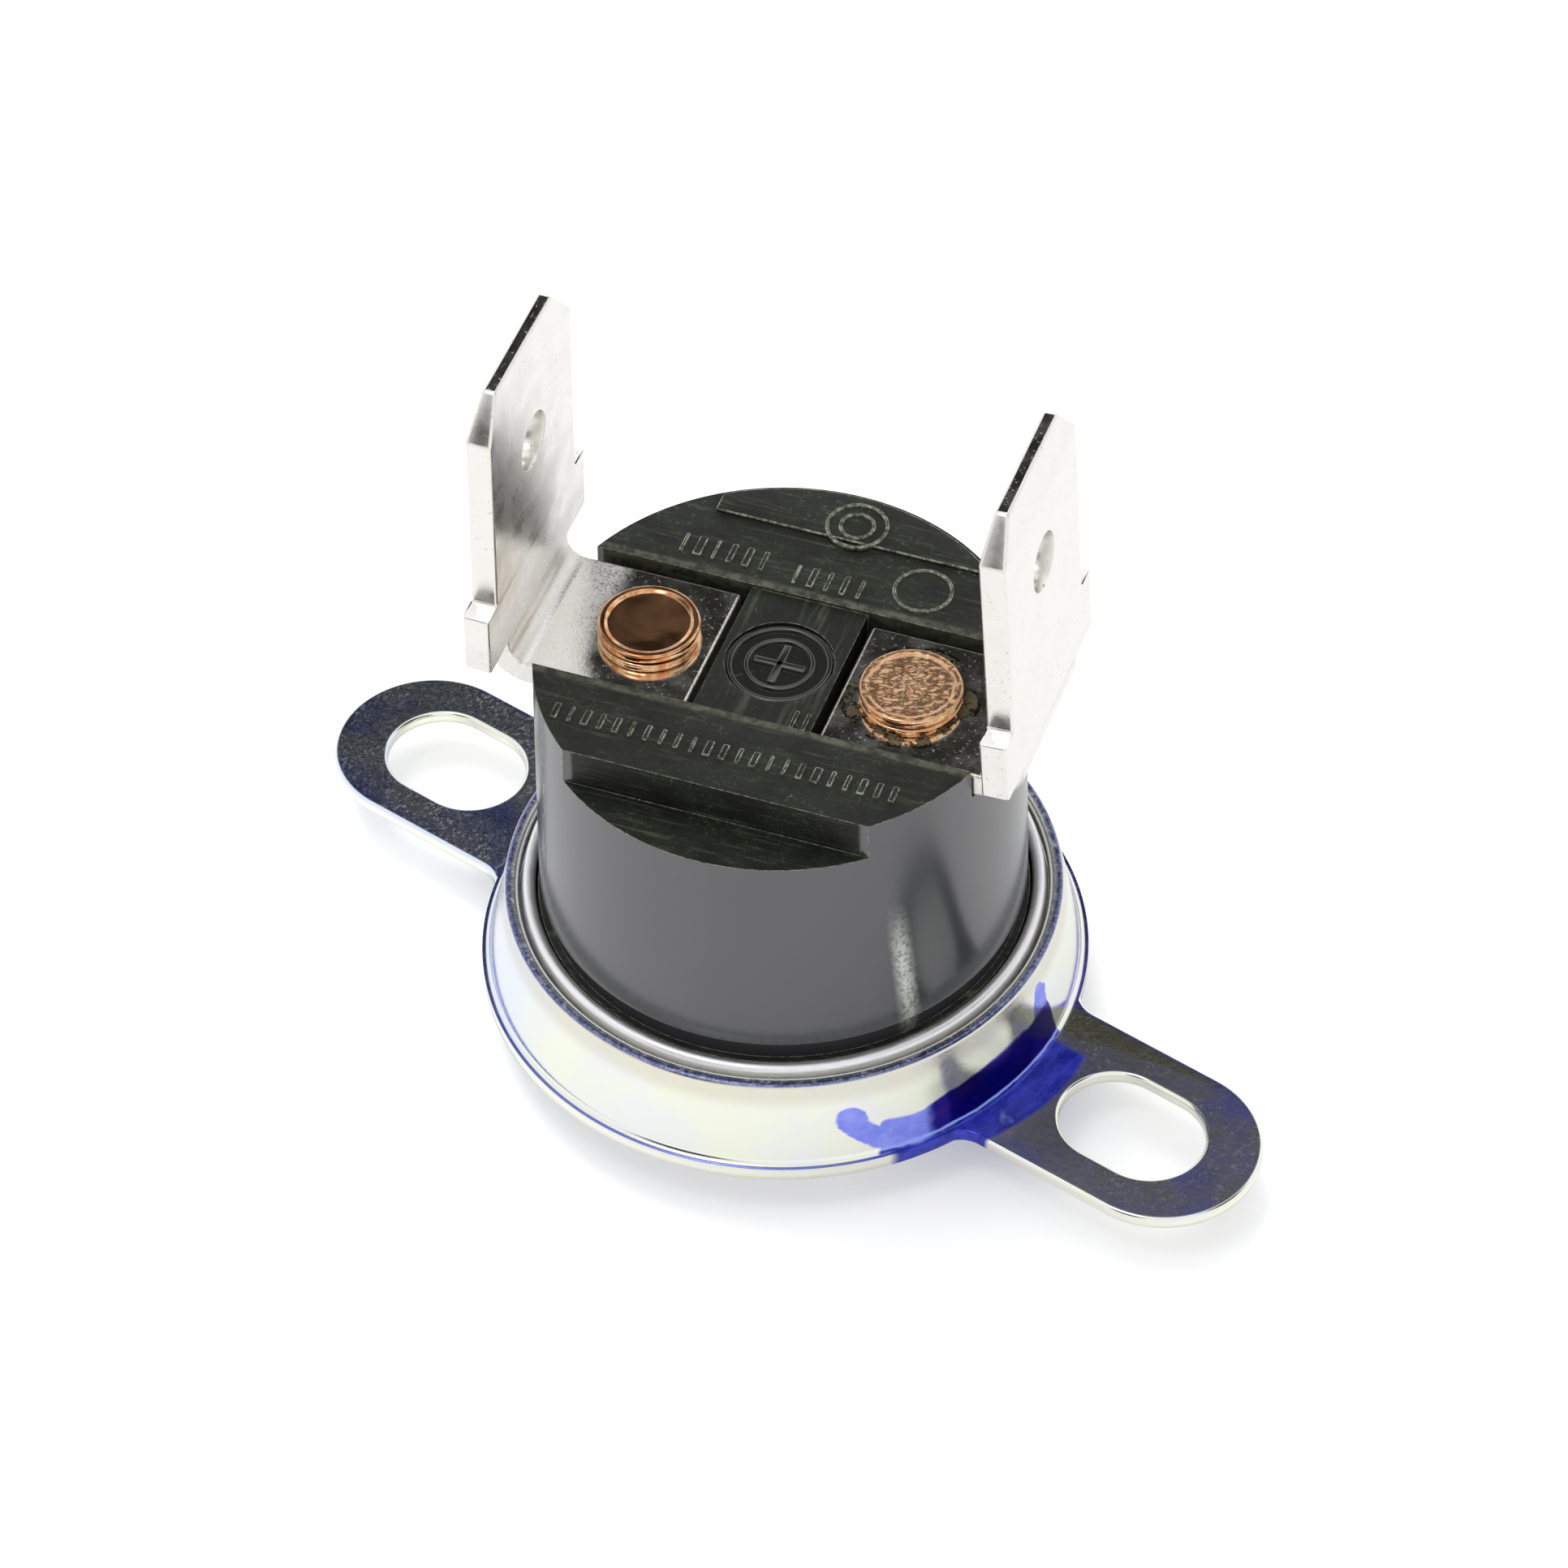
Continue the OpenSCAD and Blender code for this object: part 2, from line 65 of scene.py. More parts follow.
def place_camera():
    back = Vector((sin(CAM_AZIMUTH) * cos(CAM_ELEVATION),
                   -cos(CAM_AZIMUTH) * cos(CAM_ELEVATION), sin(CAM_ELEVATION)))
    level = Vector((cos(CAM_AZIMUTH), sin(CAM_AZIMUTH), 0))
    up = back.cross(level)
    right = cos(CAM_ROLL) * level + sin(CAM_ROLL) * up
    top = cos(CAM_ROLL) * up - sin(CAM_ROLL) * level
    data = bpy.data.cameras.new("camera")
    data.sensor_width, data.lens = CAM_SENSOR, CAM_LENS
    data.clip_start, data.clip_end = CAM_NEAR, CAM_FAR
    cam = new_object("camera", data)
    cam.matrix_world = (Matrix.Translation((CAM_AIM + back * CAM_DISTANCE) * MM)
                        @ Matrix((right, top, back)).transposed().to_4x4())
    bpy.context.scene.camera = cam


place_camera()


# Colours, nodes and masks

MATH, VECTOR, MAPPING = "ShaderNodeMath", "ShaderNodeVectorMath", "ShaderNodeMapping"
JOIN, SPLIT = "ShaderNodeCombineXYZ", "ShaderNodeSeparateXYZ"


def linear(code):
    """A colour written as sRGB hex, as the linear values that shaders take."""
    parts = [int(code[i:i + 2], 16) / 255 for i in (1, 3, 5)]
    return [v / 12.92 if v <= 0.04045 else ((v + 0.055) / 1.055) ** 2.4 for v in parts] + [1.0]


def add(tree, kind, inputs=(), out=0, **settings):
    """Adds a node with its settings, and gives its inputs, in order or by name, their values or
    links. Hands back one of its outputs, or the node itself where out is None."""
    node = tree.nodes.new(kind)
    for key, value in settings.items():
        setattr(node, key, value)
    for key, value in inputs.items() if isinstance(inputs, dict) else enumerate(inputs):
        if isinstance(value, bpy.types.NodeSocket):
            tree.links.new(value, node.inputs[key])
        else:
            node.inputs[key].default_value = value
    return node if out is None else node.outputs[out]


def where(tree, *masks):
    """A mask that holds where all the given ones do. Each is a socket, a share, or a value with
    its two limits and, if these aren't 0 and 1, what it gives at each limit."""
    whole = None
    for mask in masks:
        if isinstance(mask, tuple):
            mask = add(tree, "ShaderNodeMapRange", mask, interpolation_type="SMOOTHSTEP")
        whole = mask if whole is None else add(tree, MATH, (whole, mask), operation="MULTIPLY")
    return whole


def near(tree, value, centre, half, soft):
    """A mask that holds close to a value and falls to nought past a half width."""
    gap = add(tree, MATH, (value, centre), operation="SUBTRACT")
    gap = add(tree, MATH, (gap,), operation="ABSOLUTE")
    return where(tree, (gap, half, half + soft, 1.0, 0.0))


def coats(tree, ground, *layers):
    """A ground colour or mask under further ones, each laid where its own mask holds."""
    for mask, coat in layers:
        ends = [linear(end) if isinstance(end, str) else end for end in (ground, coat)]
        ground = add(tree, "ShaderNodeMix", {0: where(tree, mask), 6: ends[0], 7: ends[1]}, 2,
                     data_type="RGBA")
    return ground


def patterns(tree, at, *grains):
    """Noise patterns on a piece. Each has its grain's size in mm, detail and roughness, and for
    a streaky one how finely it repeats along each axis."""
    made = []
    for size, detail, rough, *streak in grains:
        place = add(tree, MAPPING, {"Vector": at, "Scale": streak[0]}) if streak else at
        made.append(add(tree, "ShaderNodeTexNoise", {
            "Vector": place, "Scale": 1 / size, "Detail": detail, "Roughness": rough}))
    return made


def patches(tree, at, grain, *limits):
    """A mask of patches: one noise pattern between two limits."""
    return where(tree, (*patterns(tree, at, grain), *limits))


def relief(tree, *bumps):
    """The surface's normal under bumps laid one on another: height, depth in mm, strength."""
    under = {}
    for height, depth, strength in bumps:
        under["Normal"] = add(tree, "ShaderNodeBump", {
            "Height": height, "Distance": depth * MM, "Strength": strength, **under})
    return under["Normal"]


def facing_up(tree):
    """The upward share of the surface's normal."""
    return add(tree, SPLIT, (add(tree, "ShaderNodeNewGeometry", out="Normal"),), "Z")


def round_axis(tree, at):
    """Distance from the Z axis, and degrees round it from X."""
    x, y, _ = add(tree, SPLIT, (at,), None).outputs
    turn = add(tree, MATH, (y, x), operation="ARCTAN2")
    return (add(tree, VECTOR, (add(tree, JOIN, (x, y)),), "Value", operation="LENGTH"),
            add(tree, MATH, (turn, degrees(1)), operation="MULTIPLY"))


def shader(name):
    """A new material, its empty node tree, and places on its piece in mm."""
    mat = bpy.data.materials.new(name)
    mat.use_nodes = True
    tree = mat.node_tree
    tree.nodes.clear()
    place = add(tree, "ShaderNodeTexCoord", out="Object")
    return mat, tree, add(tree, VECTOR, {0: place, "Scale": 1 / MM}, operation="SCALE")


def finish(mat, tree, **inputs):
    """Ends a material in a Principled shader. Inputs are named with _ for each space."""
    skin = add(tree, "ShaderNodeBsdfPrincipled",
               {key.replace("_", " "): value for key, value in inputs.items()})
    add(tree, "ShaderNodeOutputMaterial", {"Surface": skin}, None)
    return mat


# Phenolic

BORE_R, MEDAL_R = 7.0, 1.5
BAR_HALF_X, BAR_HALF_Y = 1.8, 2.6
EDGING_Y = (2.78, -2.63)
SEAM_ANGLE = -126.5
# Painted highlight on the housing's side, for light thrown from the right ear: its degrees round,
# if it ran on down to the floor, and its slant for each mm up
PAINTED_GLINT_ANGLE, PAINTED_GLINT_SLANT, PAINTED_GLINT_HEIGHT = -19.08, 0.7, 7.4
SEAM_LOW, SEAM_FULL = 7, 9


def black_phenolic():
    """Compression-moulded phenolic: glossy where it slid along the mould's polished bore and in
    the medallion, and dull, scored and dusty on top, where the punch left its milling marks."""
    mat, t, at = shader("black moulded phenolic")
    along = add(t, MAPPING, {"Vector": at, "Rotation": (0, 0, -TERMINAL_TURN)})
    across, deep, height = add(t, SPLIT, (along,), None).outputs
    radius, angle = round_axis(t, at)
    dull = add(t, MATH, (where(t, (facing_up(t), 0.5, 0.8)), near(t, radius, 0, BORE_R, 0.1)),
               operation="MAXIMUM")
    medal = near(t, radius, 0, MEDAL_R, 0.15)
    on_bar = where(t, near(t, across, 0, BAR_HALF_X, 0.05), near(t, deep, 0, BAR_HALF_Y, 0.05))
    top_marks, bar_marks = patterns(t, along, (0.16, 4, 0.7, (0.07, 1, 1)),
                                    (0.2, 3, 0.6, (1, 0.06, 1)))
    marks = coats(t, top_marks, (on_bar, bar_marks))
    grain, cloud, wave, shade = patterns(
        t, at, (0.13, 5, 0.75), (1.3, 5, 0.65), (1.6, 2, 0.5, (1, 1, 0.2)), (2.5, 3, 0.5))
    dust = patches(t, at, (0.15, 5, 0.85), 0.55, 0.72)
    seam = where(t, near(t, angle, SEAM_ANGLE, 0.25, 0.9), (height, SEAM_LOW, SEAM_FULL),
                 patches(t, at, (0.22, 4, 0.7), 0.48, 0.6))
    # Painted highlight: a pale mottled streak that slants up the side
    aslant = add(t, MATH, (height, PAINTED_GLINT_SLANT, angle), operation="MULTIPLY_ADD")
    painted_glint = where(t, near(t, aslant, PAINTED_GLINT_ANGLE, 0.2, 3.4), near(t, height, PAINTED_GLINT_HEIGHT, 0.4, 3.0),
                patches(t, at, (0.16, 3, 0.7), 0.35, 0.6, 0.35, 1.0))
    side = coats(t, "#2e2e30", (shade, "#37373a"), (seam, "#8f9087"), (painted_glint, "#d4d7cc"))
    back, front = [near(t, deep, y, 0.05, 0.16) for y in EDGING_Y]
    edging = where(t, add(t, MATH, (back, front), operation="MAXIMUM"),
                   patches(t, at, (0.4, 4, 0.7), 0.35, 0.65, 0.1, 0.6))
    scored = where(t, (marks, 0.52, 0.72), 0.6)
    dusty = where(t, dust, (cloud, 0.4, 0.62), 0.8)
    top = coats(t, "#0f110b", ((cloud, 0.3, 0.7), "#1d2017"), (scored, "#4b4e3f"),
                (dusty, "#74776a"), (edging, "#6c6f5e"), (medal, "#16180f"))
    fine = add(t, MATH, (marks, 0.7, grain), operation="MULTIPLY_ADD")
    matt = where(t, dull, add(t, MATH, (1.0, medal), operation="SUBTRACT"))
    uneven = add(t, MATH, (wave, 0.25, where(t, fine, matt)), operation="MULTIPLY_ADD")
    uneven = add(t, MATH, (uneven, seam), operation="ADD")
    return finish(
        mat, t, Base_Color=coats(t, side, (dull, top)), IOR=1.95,
        Roughness=add(t, MATH, (matt, 0.25, 0.2), operation="MULTIPLY_ADD"),
        Specular_IOR_Level=add(t, MATH, (matt, -0.38, 0.5), operation="MULTIPLY_ADD"),
        Normal=relief(t, (uneven, 0.03, 0.9)))


def worn_and_highlit_phenolic():
    """The same moulding on its eased edges: rubbed where the resin's skin is gone and filler
    shows, and on the marks lighter in colour as a painted highlight.
    """
    mat, t, at = shader("rubbed and highlit edge of the phenolic moulding")
    chips, = patterns(t, at, (0.2, 5, 0.8))
    filler = patches(t, at, (0.1, 3, 0.6), 0.68, 0.74)
    # Partly painted highlight: the light chips and filler outline the marks' edges
    return finish(
        mat, t, Base_Color=coats(t, "#434538", ((chips, 0.4, 0.62), "#999b8b"),
                                 (filler, "#e4e4da")),
        Roughness=0.5, Specular_IOR_Level=0.3, Normal=relief(t, (chips, 0.02, 0.8)))


# Nickel plate

# The grain of the left bend: where it starts and where it is full, along the terminals' line
BEND_FROM, BEND_TO = -5.2, -5.9
FLUX_R = HEAD_R + 0.5


def nickel_plate():
    """Nickel plate on stamped brass strip: a bright mirror on the arms and satin on the blades,
    with a little ripple from rolling, pits, grain where bending stretched the left strip, and
    brown flux round the right rivet."""
    mat, t, at = shader("nickel-plated stamped brass")
    from_rivet = add(t, MAPPING, {"Vector": at, "Rotation": (0, 0, -TERMINAL_TURN),
                                  "Location": (-RIVET_X, 0, 0)})
    along, _, height = add(t, SPLIT, (from_rivet,), None).outputs
    ripple, fine, blot = patterns(t, at, (0.9, 3, 0.6), (0.08, 3, 0.7), (0.35, 4, 0.7))
    pits = patches(t, at, (0.13, 4, 0.8), 0.64, 0.72)
    facing = facing_up(t)
    spread = add(t, MATH, (blot, 0.5, round_axis(t, from_rivet)[0]), operation="MULTIPLY_ADD")
    flux = where(t, near(t, spread, FLUX_R, 0.1, 0.3), (facing, 0.8, 0.9),
                 patches(t, at, (0.7, 4, 0.7), 0.5, 0.62))
    # Painted highlight: level faces get a lighter colour, as well as a smoother finish
    level = where(t, (facing, 0.9, 0.98))
    bent = where(t, near(t, height, ARM_TOP, 1.5, 0.6),
                 (along, BEND_TO - RIVET_X, BEND_FROM - RIVET_X, 1.0, 0.0))
    peel = where(t, fine, add(t, MATH, (bent, 0.8, 0.2), operation="MULTIPLY_ADD"))
    matt = add(t, MATH, (where(t, bent, (fine, 0.38, 0.52, 0.1, 0.5)),
                         where(t, (flux, 0.3, 0.8))), operation="MAXIMUM")
    satin = where(t, (ripple, 0.3, 0.7, 0.24, 0.34))
    uneven = add(t, MATH, (ripple, pits), operation="ADD")
    return finish(
        mat, t, Base_Color=coats(t, "#eeece6", (level, "#fffefa"), (pits, "#8a7f66"),
                                 ((flux, 0.0, 0.3), coats(t, "#231e14", (ripple, "#6e6650")))),
        Metallic=add(t, MATH, (1.0, matt), operation="SUBTRACT"),
        Roughness=add(t, MATH, (level, -0.17, satin), operation="MULTIPLY_ADD"),
        Normal=relief(t, (uneven, 0.012, 0.6), (peel, 0.01, 0.7)))


def nickel_edge():
    """The same plate on the strip's sheared edges, which the cut left rough."""
    mat, t, at = shader("nickel plate on a sheared edge")
    burr, = patterns(t, at, (0.12, 4, 0.75))
    return finish(mat, t, Base_Color=coats(t, "#c4c0ae", ((burr, 0.35, 0.6), "#fffdf4")),
                  Metallic=1.0, Roughness=0.4, Normal=relief(t, (burr, 0.02, 0.8)))


# Copper and aluminium

def struck_copper():
    """Copper wire headed in a die: bright where the die wiped it, brown on the left one's dull
    top, and speckled on the right one's hammered top."""
    mat, t, at = shader("struck copper")
    across, _, height = add(t, SPLIT, (at,), None).outputs
    facing = facing_up(t)
    stain, speckle, dents = patterns(t, at, (0.5, 4, 0.7), (0.2, 3, 0.7), (0.2, 4, 0.7))
    tarnish = add(t, "ShaderNodeTexNoise", {"Vector": at, "Scale": 1 / 1.4, "Detail": 2,
                                            "Roughness": 0.5, "Distortion": 0.6})
    dull_top = where(t, (facing, 0.97, 0.995), (across, -1, 1, 1.0, 0.0))
    hammered_top = where(t, (facing, 0.6, 0.9), (across, -1, 1))
    # Painted shade: the groove round the head is darkened in colour
    groove = near(t, height, ARM_TOP + GROOVE, 0.02, 0.06)
    tops = add(t, MATH, (dull_top, hammered_top), operation="MAXIMUM")
    return finish(
        mat, t, Base_Color=coats(
            t, "#c8814f", ((stain, 0.35, 0.65), "#f6cda2"), (groove, "#4a2512"),
            (hammered_top, coats(t, "#b4703e", (speckle, "#ffdcb4"))),
            (dull_top, coats(t, "#6a4a34", ((tarnish, 0.35, 0.65), "#bd8d66")))),
        Metallic=1.0, Roughness=add(t, MATH, (tops, 0.14, 0.1), operation="MULTIPLY_ADD"),
        Normal=relief(t, (dents, 0.006, 0.5)))


def drawn_aluminium():
    """Deep-drawn aluminium sheet: satin, with faint lines from the rolling of its rim."""
    mat, t, at = shader("deep-drawn aluminium")
    tint, streak = patterns(t, at, (1.5, 3, 0.5), (0.5, 4, 0.6, (1, 1, 3)))
    return finish(mat, t, Base_Color=coats(t, "#f0eff4", (tint, "#fbfbfb")), Metallic=1.0,
                  Roughness=where(t, (streak, 0.3, 0.7, 0.36, 0.5)),
                  Normal=relief(t, (streak, 0.01, 0.5)))


# Zinc plate and the ink on it

# Upper edge of the ink on the collar: degrees round, share of the collar's height
INK_EDGE = ((-36, 0.2), (-34, 0.4), (-27, 0.37), (-24, 0.41), (-15, 0.47), (0, 0.5), (4, 0.48),
            (6, 0.6), (9, 0.82), (11, 0.5), (12, 0.0))
INK_FROM, INK_TO = INK_EDGE[0][0], INK_EDGE[-1][0]
# Millimetres along the collar for one degree
INK_MM = 0.155
# Strokes of the pen on the collar's wall: start and end in mm round and up, and half width
INK_STROKES = (((-6.34, 1.4, 0), (-6.24, 1.4, 0), 0.42), ((-6.28, 1.2, 0), (-5.5, 0.5, 0), 0.34))
# How far out the ink reaches on the ear, how much less it does for each square mm aside, and
# where it ends aside
INK_REACH, INK_CURVE, INK_ASIDE = 10.3, -0.075, (1.3, 1.6)


def from_stroke(t, at, start, end):
    """Distance from a straight stroke between two points of a flat place."""
    way = Vector(end) - Vector(start)
    here = add(t, VECTOR, (at, start), operation="SUBTRACT")
    share = add(t, VECTOR, (here, way / way.length_squared), "Value", operation="DOT_PRODUCT")
    share = add(t, "ShaderNodeClamp", (share,))
    foot = add(t, VECTOR, {0: way, "Scale": share}, operation="SCALE")
    return add(t, VECTOR, (here, foot), "Value", operation="DISTANCE")


def marker_ink(t, at, angle, rise):
    """Where a marker pen crossed the collar: a dot, a band along the foot that ends in a tail,
    and the root of the ear beside it. Gives the mask, the ink's colour with a painted highlight
    along the foot, and where it lies dull."""
    x, y, z = add(t, SPLIT, (at,), None).outputs
    shake, slip = patterns(t, at, (0.6, 3, 0.5), (0.8, 2, 0.5))
    shake = add(t, MATH, (shake, 3.0, -1.5), operation="MULTIPLY_ADD")
    slip = add(t, MATH, (slip, 0.06, -0.03), operation="MULTIPLY_ADD")
    angle = add(t, MATH, (angle, shake), operation="ADD")
    rise = add(t, MATH, (rise, slip), operation="ADD")
    round_share = add(t, "ShaderNodeMapRange", (angle, INK_FROM, INK_TO))
    stripe = add(t, "ShaderNodeFloatCurve", {"Value": round_share}, None)
    points = stripe.mapping.curves[0].points
    points[0].location, points[1].location = (0, INK_EDGE[0][1]), (1, INK_EDGE[-1][1])
    for degrees_round, share in INK_EDGE[1:-1]:
        points.new((degrees_round - INK_FROM) / (INK_TO - INK_FROM), share)
    stripe.mapping.update()
    below = add(t, MATH, (stripe.outputs[0], rise), operation="SUBTRACT")
    on_wall = where(t, (angle, INK_FROM, INK_FROM + 1), (angle, INK_TO - 1, INK_TO, 1.0, 0.0),
                    (below, -0.01, 0.03))
    spread = add(t, VECTOR, (add(t, JOIN, (angle, rise)), (INK_MM, COLLAR_H, 0)),
                 operation="MULTIPLY")
    for start, end, half in INK_STROKES:
        gap = from_stroke(t, spread, start, end)
        stroke = where(t, (gap, half - 0.04, half + 0.04, 1.0, 0.0))
        on_wall = add(t, MATH, (on_wall, stroke), operation="MAXIMUM")
    aside = add(t, MATH, (y, y), operation="MULTIPLY")
    reach = add(t, MATH, (aside, INK_CURVE, INK_REACH), operation="MULTIPLY_ADD")
    inside = add(t, MATH, (reach, x), operation="SUBTRACT")
    on_ear = where(t, (inside, -0.1, 0.1), (y, *INK_ASIDE, 1.0, 0.0), (angle, -34, -32), (x, 4, 5))
    on_foot = where(t, (rise, 0.02, 0.05, 1.0, 0.0))
    thick = where(t, (angle, -26, -23), (rise, 0.44, 0.52, 1.0, 0.0))
    streaky = patches(t, at, (0.5, 4, 0.7, (1, 0.4, 1)), 0.35, 0.7)
    wall_pen = coats(t, "#7f8bf0", (streaky, "#9aa2f6"),
                     (thick, coats(t, "#1a1a86", (streaky, "#3c1c86"))))
    # Painted highlight: a pale blue line along the foot, in the ink over the ear's root
    ear_pen_and_highlight = coats(t, "#101c96", (streaky, "#3a44cc"),
                    (near(t, rise, 0.05, 0.02, 0.02), "#9db6ff"))
    ink = coats(t, on_ear, ((z, EAR_TOP - 0.01, EAR_TOP + 0.02), on_wall))
    return ink, coats(t, wall_pen, (on_foot, ear_pen_and_highlight)), on_foot


# Degrees round of a bluish side and of a grey patch on the collar's wall
BLUE_ANGLE, GREY_PATCH_ANGLE = -150, -21


def zinc_plate():
    """Bright zinc plate with a blue passivate on drawn steel: creamy on the collar's wall, white
    where the lip turns in, and grainy on the ears, where the sheet's own surface shows. Marker
    ink on one side."""
    mat, t, at = shader("bright zinc plate on drawn steel")
    x, y, z = add(t, SPLIT, (at,), None).outputs
    radius, angle = round_axis(t, at)
    rise = add(t, MATH, (z, 1 / COLLAR_H, -EAR_TOP / COLLAR_H), operation="MULTIPLY_ADD")
    facing = facing_up(t)
    flat = where(t, (facing, 0.94, 0.985))
    on_lip = where(t, (rise, 0.8, 0.9))
    right_ear = where(t, (x, 7, 9))
    grain, broad, haze = patterns(t, at, (0.15, 5, 0.8), (2.4, 3, 0.6), (2.5, 2, 0.5))
    worn = coats(t, where(t, (broad, 0.35, 0.6, 0.1, 0.45)),
                 (right_ear, where(t, patches(t, at, (1.4, 3, 0.6), 0.42, 0.6, 0.3, 1.0), 0.3)))
    flecks = where(t, patches(t, at, (0.12, 3, 0.75, (1, 0.7, 1)), 0.53, 0.62), worn)
    flecks = coats(t, flecks, (on_lip, patches(t, at, (0.25, 5, 0.75), 0.48, 0.7)))
    specks = where(t, flat, flecks)
    scuffs = where(t, patches(t, at, (0.5, 5, 0.8, (1, 1, 2)), 0.64, 0.76), 0.3)
    grey_patch = where(t, near(t, angle, GREY_PATCH_ANGLE, 0.5, 5), near(t, rise, 0.5, 0.04, 0.22), 0.45)
    wall = coats(t, "#f2f5e3", ((broad, 0.35, 0.65), "#eef0ee"),
                 (near(t, angle, BLUE_ANGLE, 25, 25), "#e8eef6"), (scuffs, "#8e8f86"),
                 (grey_patch, "#98a39a"), (where(t, (rise, 0.66, 0.86), 0.3), "#b8a88c"))
    bluish = add(t, MATH, (y, 0.08, haze), operation="MULTIPLY_ADD")
    ear = coats(t, "#7780cc", ((bluish, 0.15, 0.5), "#b6bdc8"),
                (right_ear, coats(t, "#8f9080", ((broad, 0.45, 0.65), "#7c7ea8"))),
                ((y, 2.75, 2.95), "#7a70d8"))
    # The lip's outer edge: blue passivate, darkened in colour as a painted dark reflection
    outer_lip_tint_and_reflection = coats(t, "#50568c", ((grain, 0.4, 0.6), "#8a8eb4"))
    lip = coats(t, "#f2f3ee", ((radius, HOLE_R + 0.1, HOLE_R + 0.3), outer_lip_tint_and_reflection))
    tone = coats(t, wall, (flat, ear), (where(t, on_lip, (facing, 0.55, 0.85)), lip),
                 (near(t, facing, 0.0, 0.06, 0.06), "#fffdf0"),
                 (specks, coats(t, "#a3a38c", (on_lip, "#c6c9d4"))))
    # The ink's colour holds a painted highlight along the foot
    ink, pen, dull = marker_ink(t, at, angle, rise)
    metal = add(t, MATH, (specks, -0.7, 1.0), operation="MULTIPLY_ADD")
    metal = add(t, MATH, (where(t, ink, dull), -0.75, metal), operation="MULTIPLY_ADD")
    rough = where(t, (grain, 0.35, 0.65, 0.1, 0.18))
    sheet = where(t, grain, add(t, MATH, (flat, 0.5, 0.5), operation="MULTIPLY_ADD"))
    return finish(
        mat, t, Base_Color=coats(t, tone, (ink, pen)),
        Metallic=add(t, MATH, (metal, 0.2), operation="MAXIMUM"),
        Roughness=add(t, MATH, (on_lip, 0.12, rough), operation="MULTIPLY_ADD"),
        Normal=relief(t, (broad, 0.02, 0.4), (sheet, 0.008, 0.6)))


# Pieces inside

def plain_metal(name, light, dark, rough):
    """Rolled strip for the pieces inside: even colour with the rolling direction's streaks."""
    mat, t, at = shader(name)
    streak, = patterns(t, at, (0.2, 3, 0.5, (0.1, 1, 1)))
    return finish(mat, t, Base_Color=coats(t, light, (streak, dark)), Metallic=1.0,
                  Roughness=rough, Normal=relief(t, (streak, 0.003, 0.5)))


def plain_mould(name, light, dark, rough):
    """Moulded or fired pieces inside: dull and faintly grainy."""
    mat, t, at = shader(name)
    grain, = patterns(t, at, (0.2, 4, 0.7))
    return finish(mat, t, Base_Color=coats(t, light, (grain, dark)), Roughness=rough,
                  Normal=relief(t, (grain, 0.01, 0.5)))


PHENOLIC = black_phenolic()
WORN_EDGE_AND_HIGHLIGHT = worn_and_highlit_phenolic()
NICKEL = nickel_plate()
BURR = nickel_edge()
COPPER = struck_copper()
ALUMINIUM = drawn_aluminium()
ZINC = zinc_plate()


# Outlines

def rounded(points, steps=6):
    """A closed outline whose corners (x, y, radius) are rounded off."""
    out = []
    for i, (x, y, radius) in enumerate(points):
        here = Vector((x, y))
        if radius == 0:
            out.append(here)
            continue
        before = (Vector(points[i - 1][:2]) - here).normalized()
        after = (Vector(points[(i + 1) % len(points)][:2]) - here).normalized()
        half = before.angle(after) / 2
        middle = (before + after).normalized()
        centre = here + middle * (radius / sin(half))
        start = (here + before * (radius / tan(half)) - centre) / radius
        end = (here + after * (radius / tan(half)) - centre) / radius
        for k in range(steps + 1):
            out.append(centre + start.slerp(end, k / steps) * radius)
    return out


def arc(centre, radius, start, end, steps):
    """Points along an arc, with its angles in degrees."""
    turns = [radians(start + (end - start) * k / steps) for k in range(steps + 1)]
    return [(centre[0] + radius * cos(turn), centre[1] + radius * sin(turn)) for turn in turns]


def box_outline(x0, y0, x1, y1):
    return [(x0, y0), (x1, y0), (x1, y1), (x0, y1)]


def disc_outline(radius, steps=64):
    return arc((0, 0), radius, 0, 360 * (steps - 1) / steps, steps - 1)


# Meshes

# Points closer than this, in metres, are one
SAME_POINT = 1e-7


def settled(ob):
    """The object's evaluated shape as a plain mesh. The object is removed."""
    ob_now = ob.evaluated_get(bpy.context.evaluated_depsgraph_get())
    mesh = bpy.data.meshes.new_from_object(ob_now)
    bpy.data.objects.remove(ob)
    return mesh


def remade(mesh, work):
    """The mesh after some work on it with bmesh."""
    shape = bmesh.new()
    shape.from_mesh(mesh)
    work(shape)
    shape.to_mesh(mesh)
    shape.free()
    return mesh


def welded(mesh, gap):
    """Merges the points of a mesh that are closer than a gap in metres."""
    return remade(mesh, lambda s: bmesh.ops.remove_doubles(s, verts=s.verts, dist=gap))


def outwards(mesh):
    """Turns the faces of a closed mesh outwards."""
    return remade(mesh, lambda s: bmesh.ops.recalc_face_normals(s, faces=s.faces))


def joined(mesh, others):
    """Adds other meshes with the same finishes to a mesh."""
    return remade(mesh, lambda s: [s.from_mesh(other) for other in others])


def skinned(name, rings):
    """A closed mesh over rings of points, each joined to the next, with both ends filled."""
    def skin(shape):
        loops = [[shape.verts.new(point * MM) for point in ring] for ring in rings]
        shape.faces.new(loops[0][::-1])
        shape.faces.new(loops[-1])
        for a, b in zip(loops, loops[1:]):
            for i in range(len(a)):
                j = (i + 1) % len(a)
                shape.faces.new((a[i], a[j], b[j], b[i]))
    return outwards(remade(bpy.data.meshes.new(name), skin))


def prism(name, outline, low, high, matrix=Matrix.Identity(4)):
    """An upright solid over an outline, between two heights, then moved by a matrix."""
    return skinned(name, [[matrix @ Vector((p[0], p[1], z)) for p in outline]
                          for z in (low, high)])


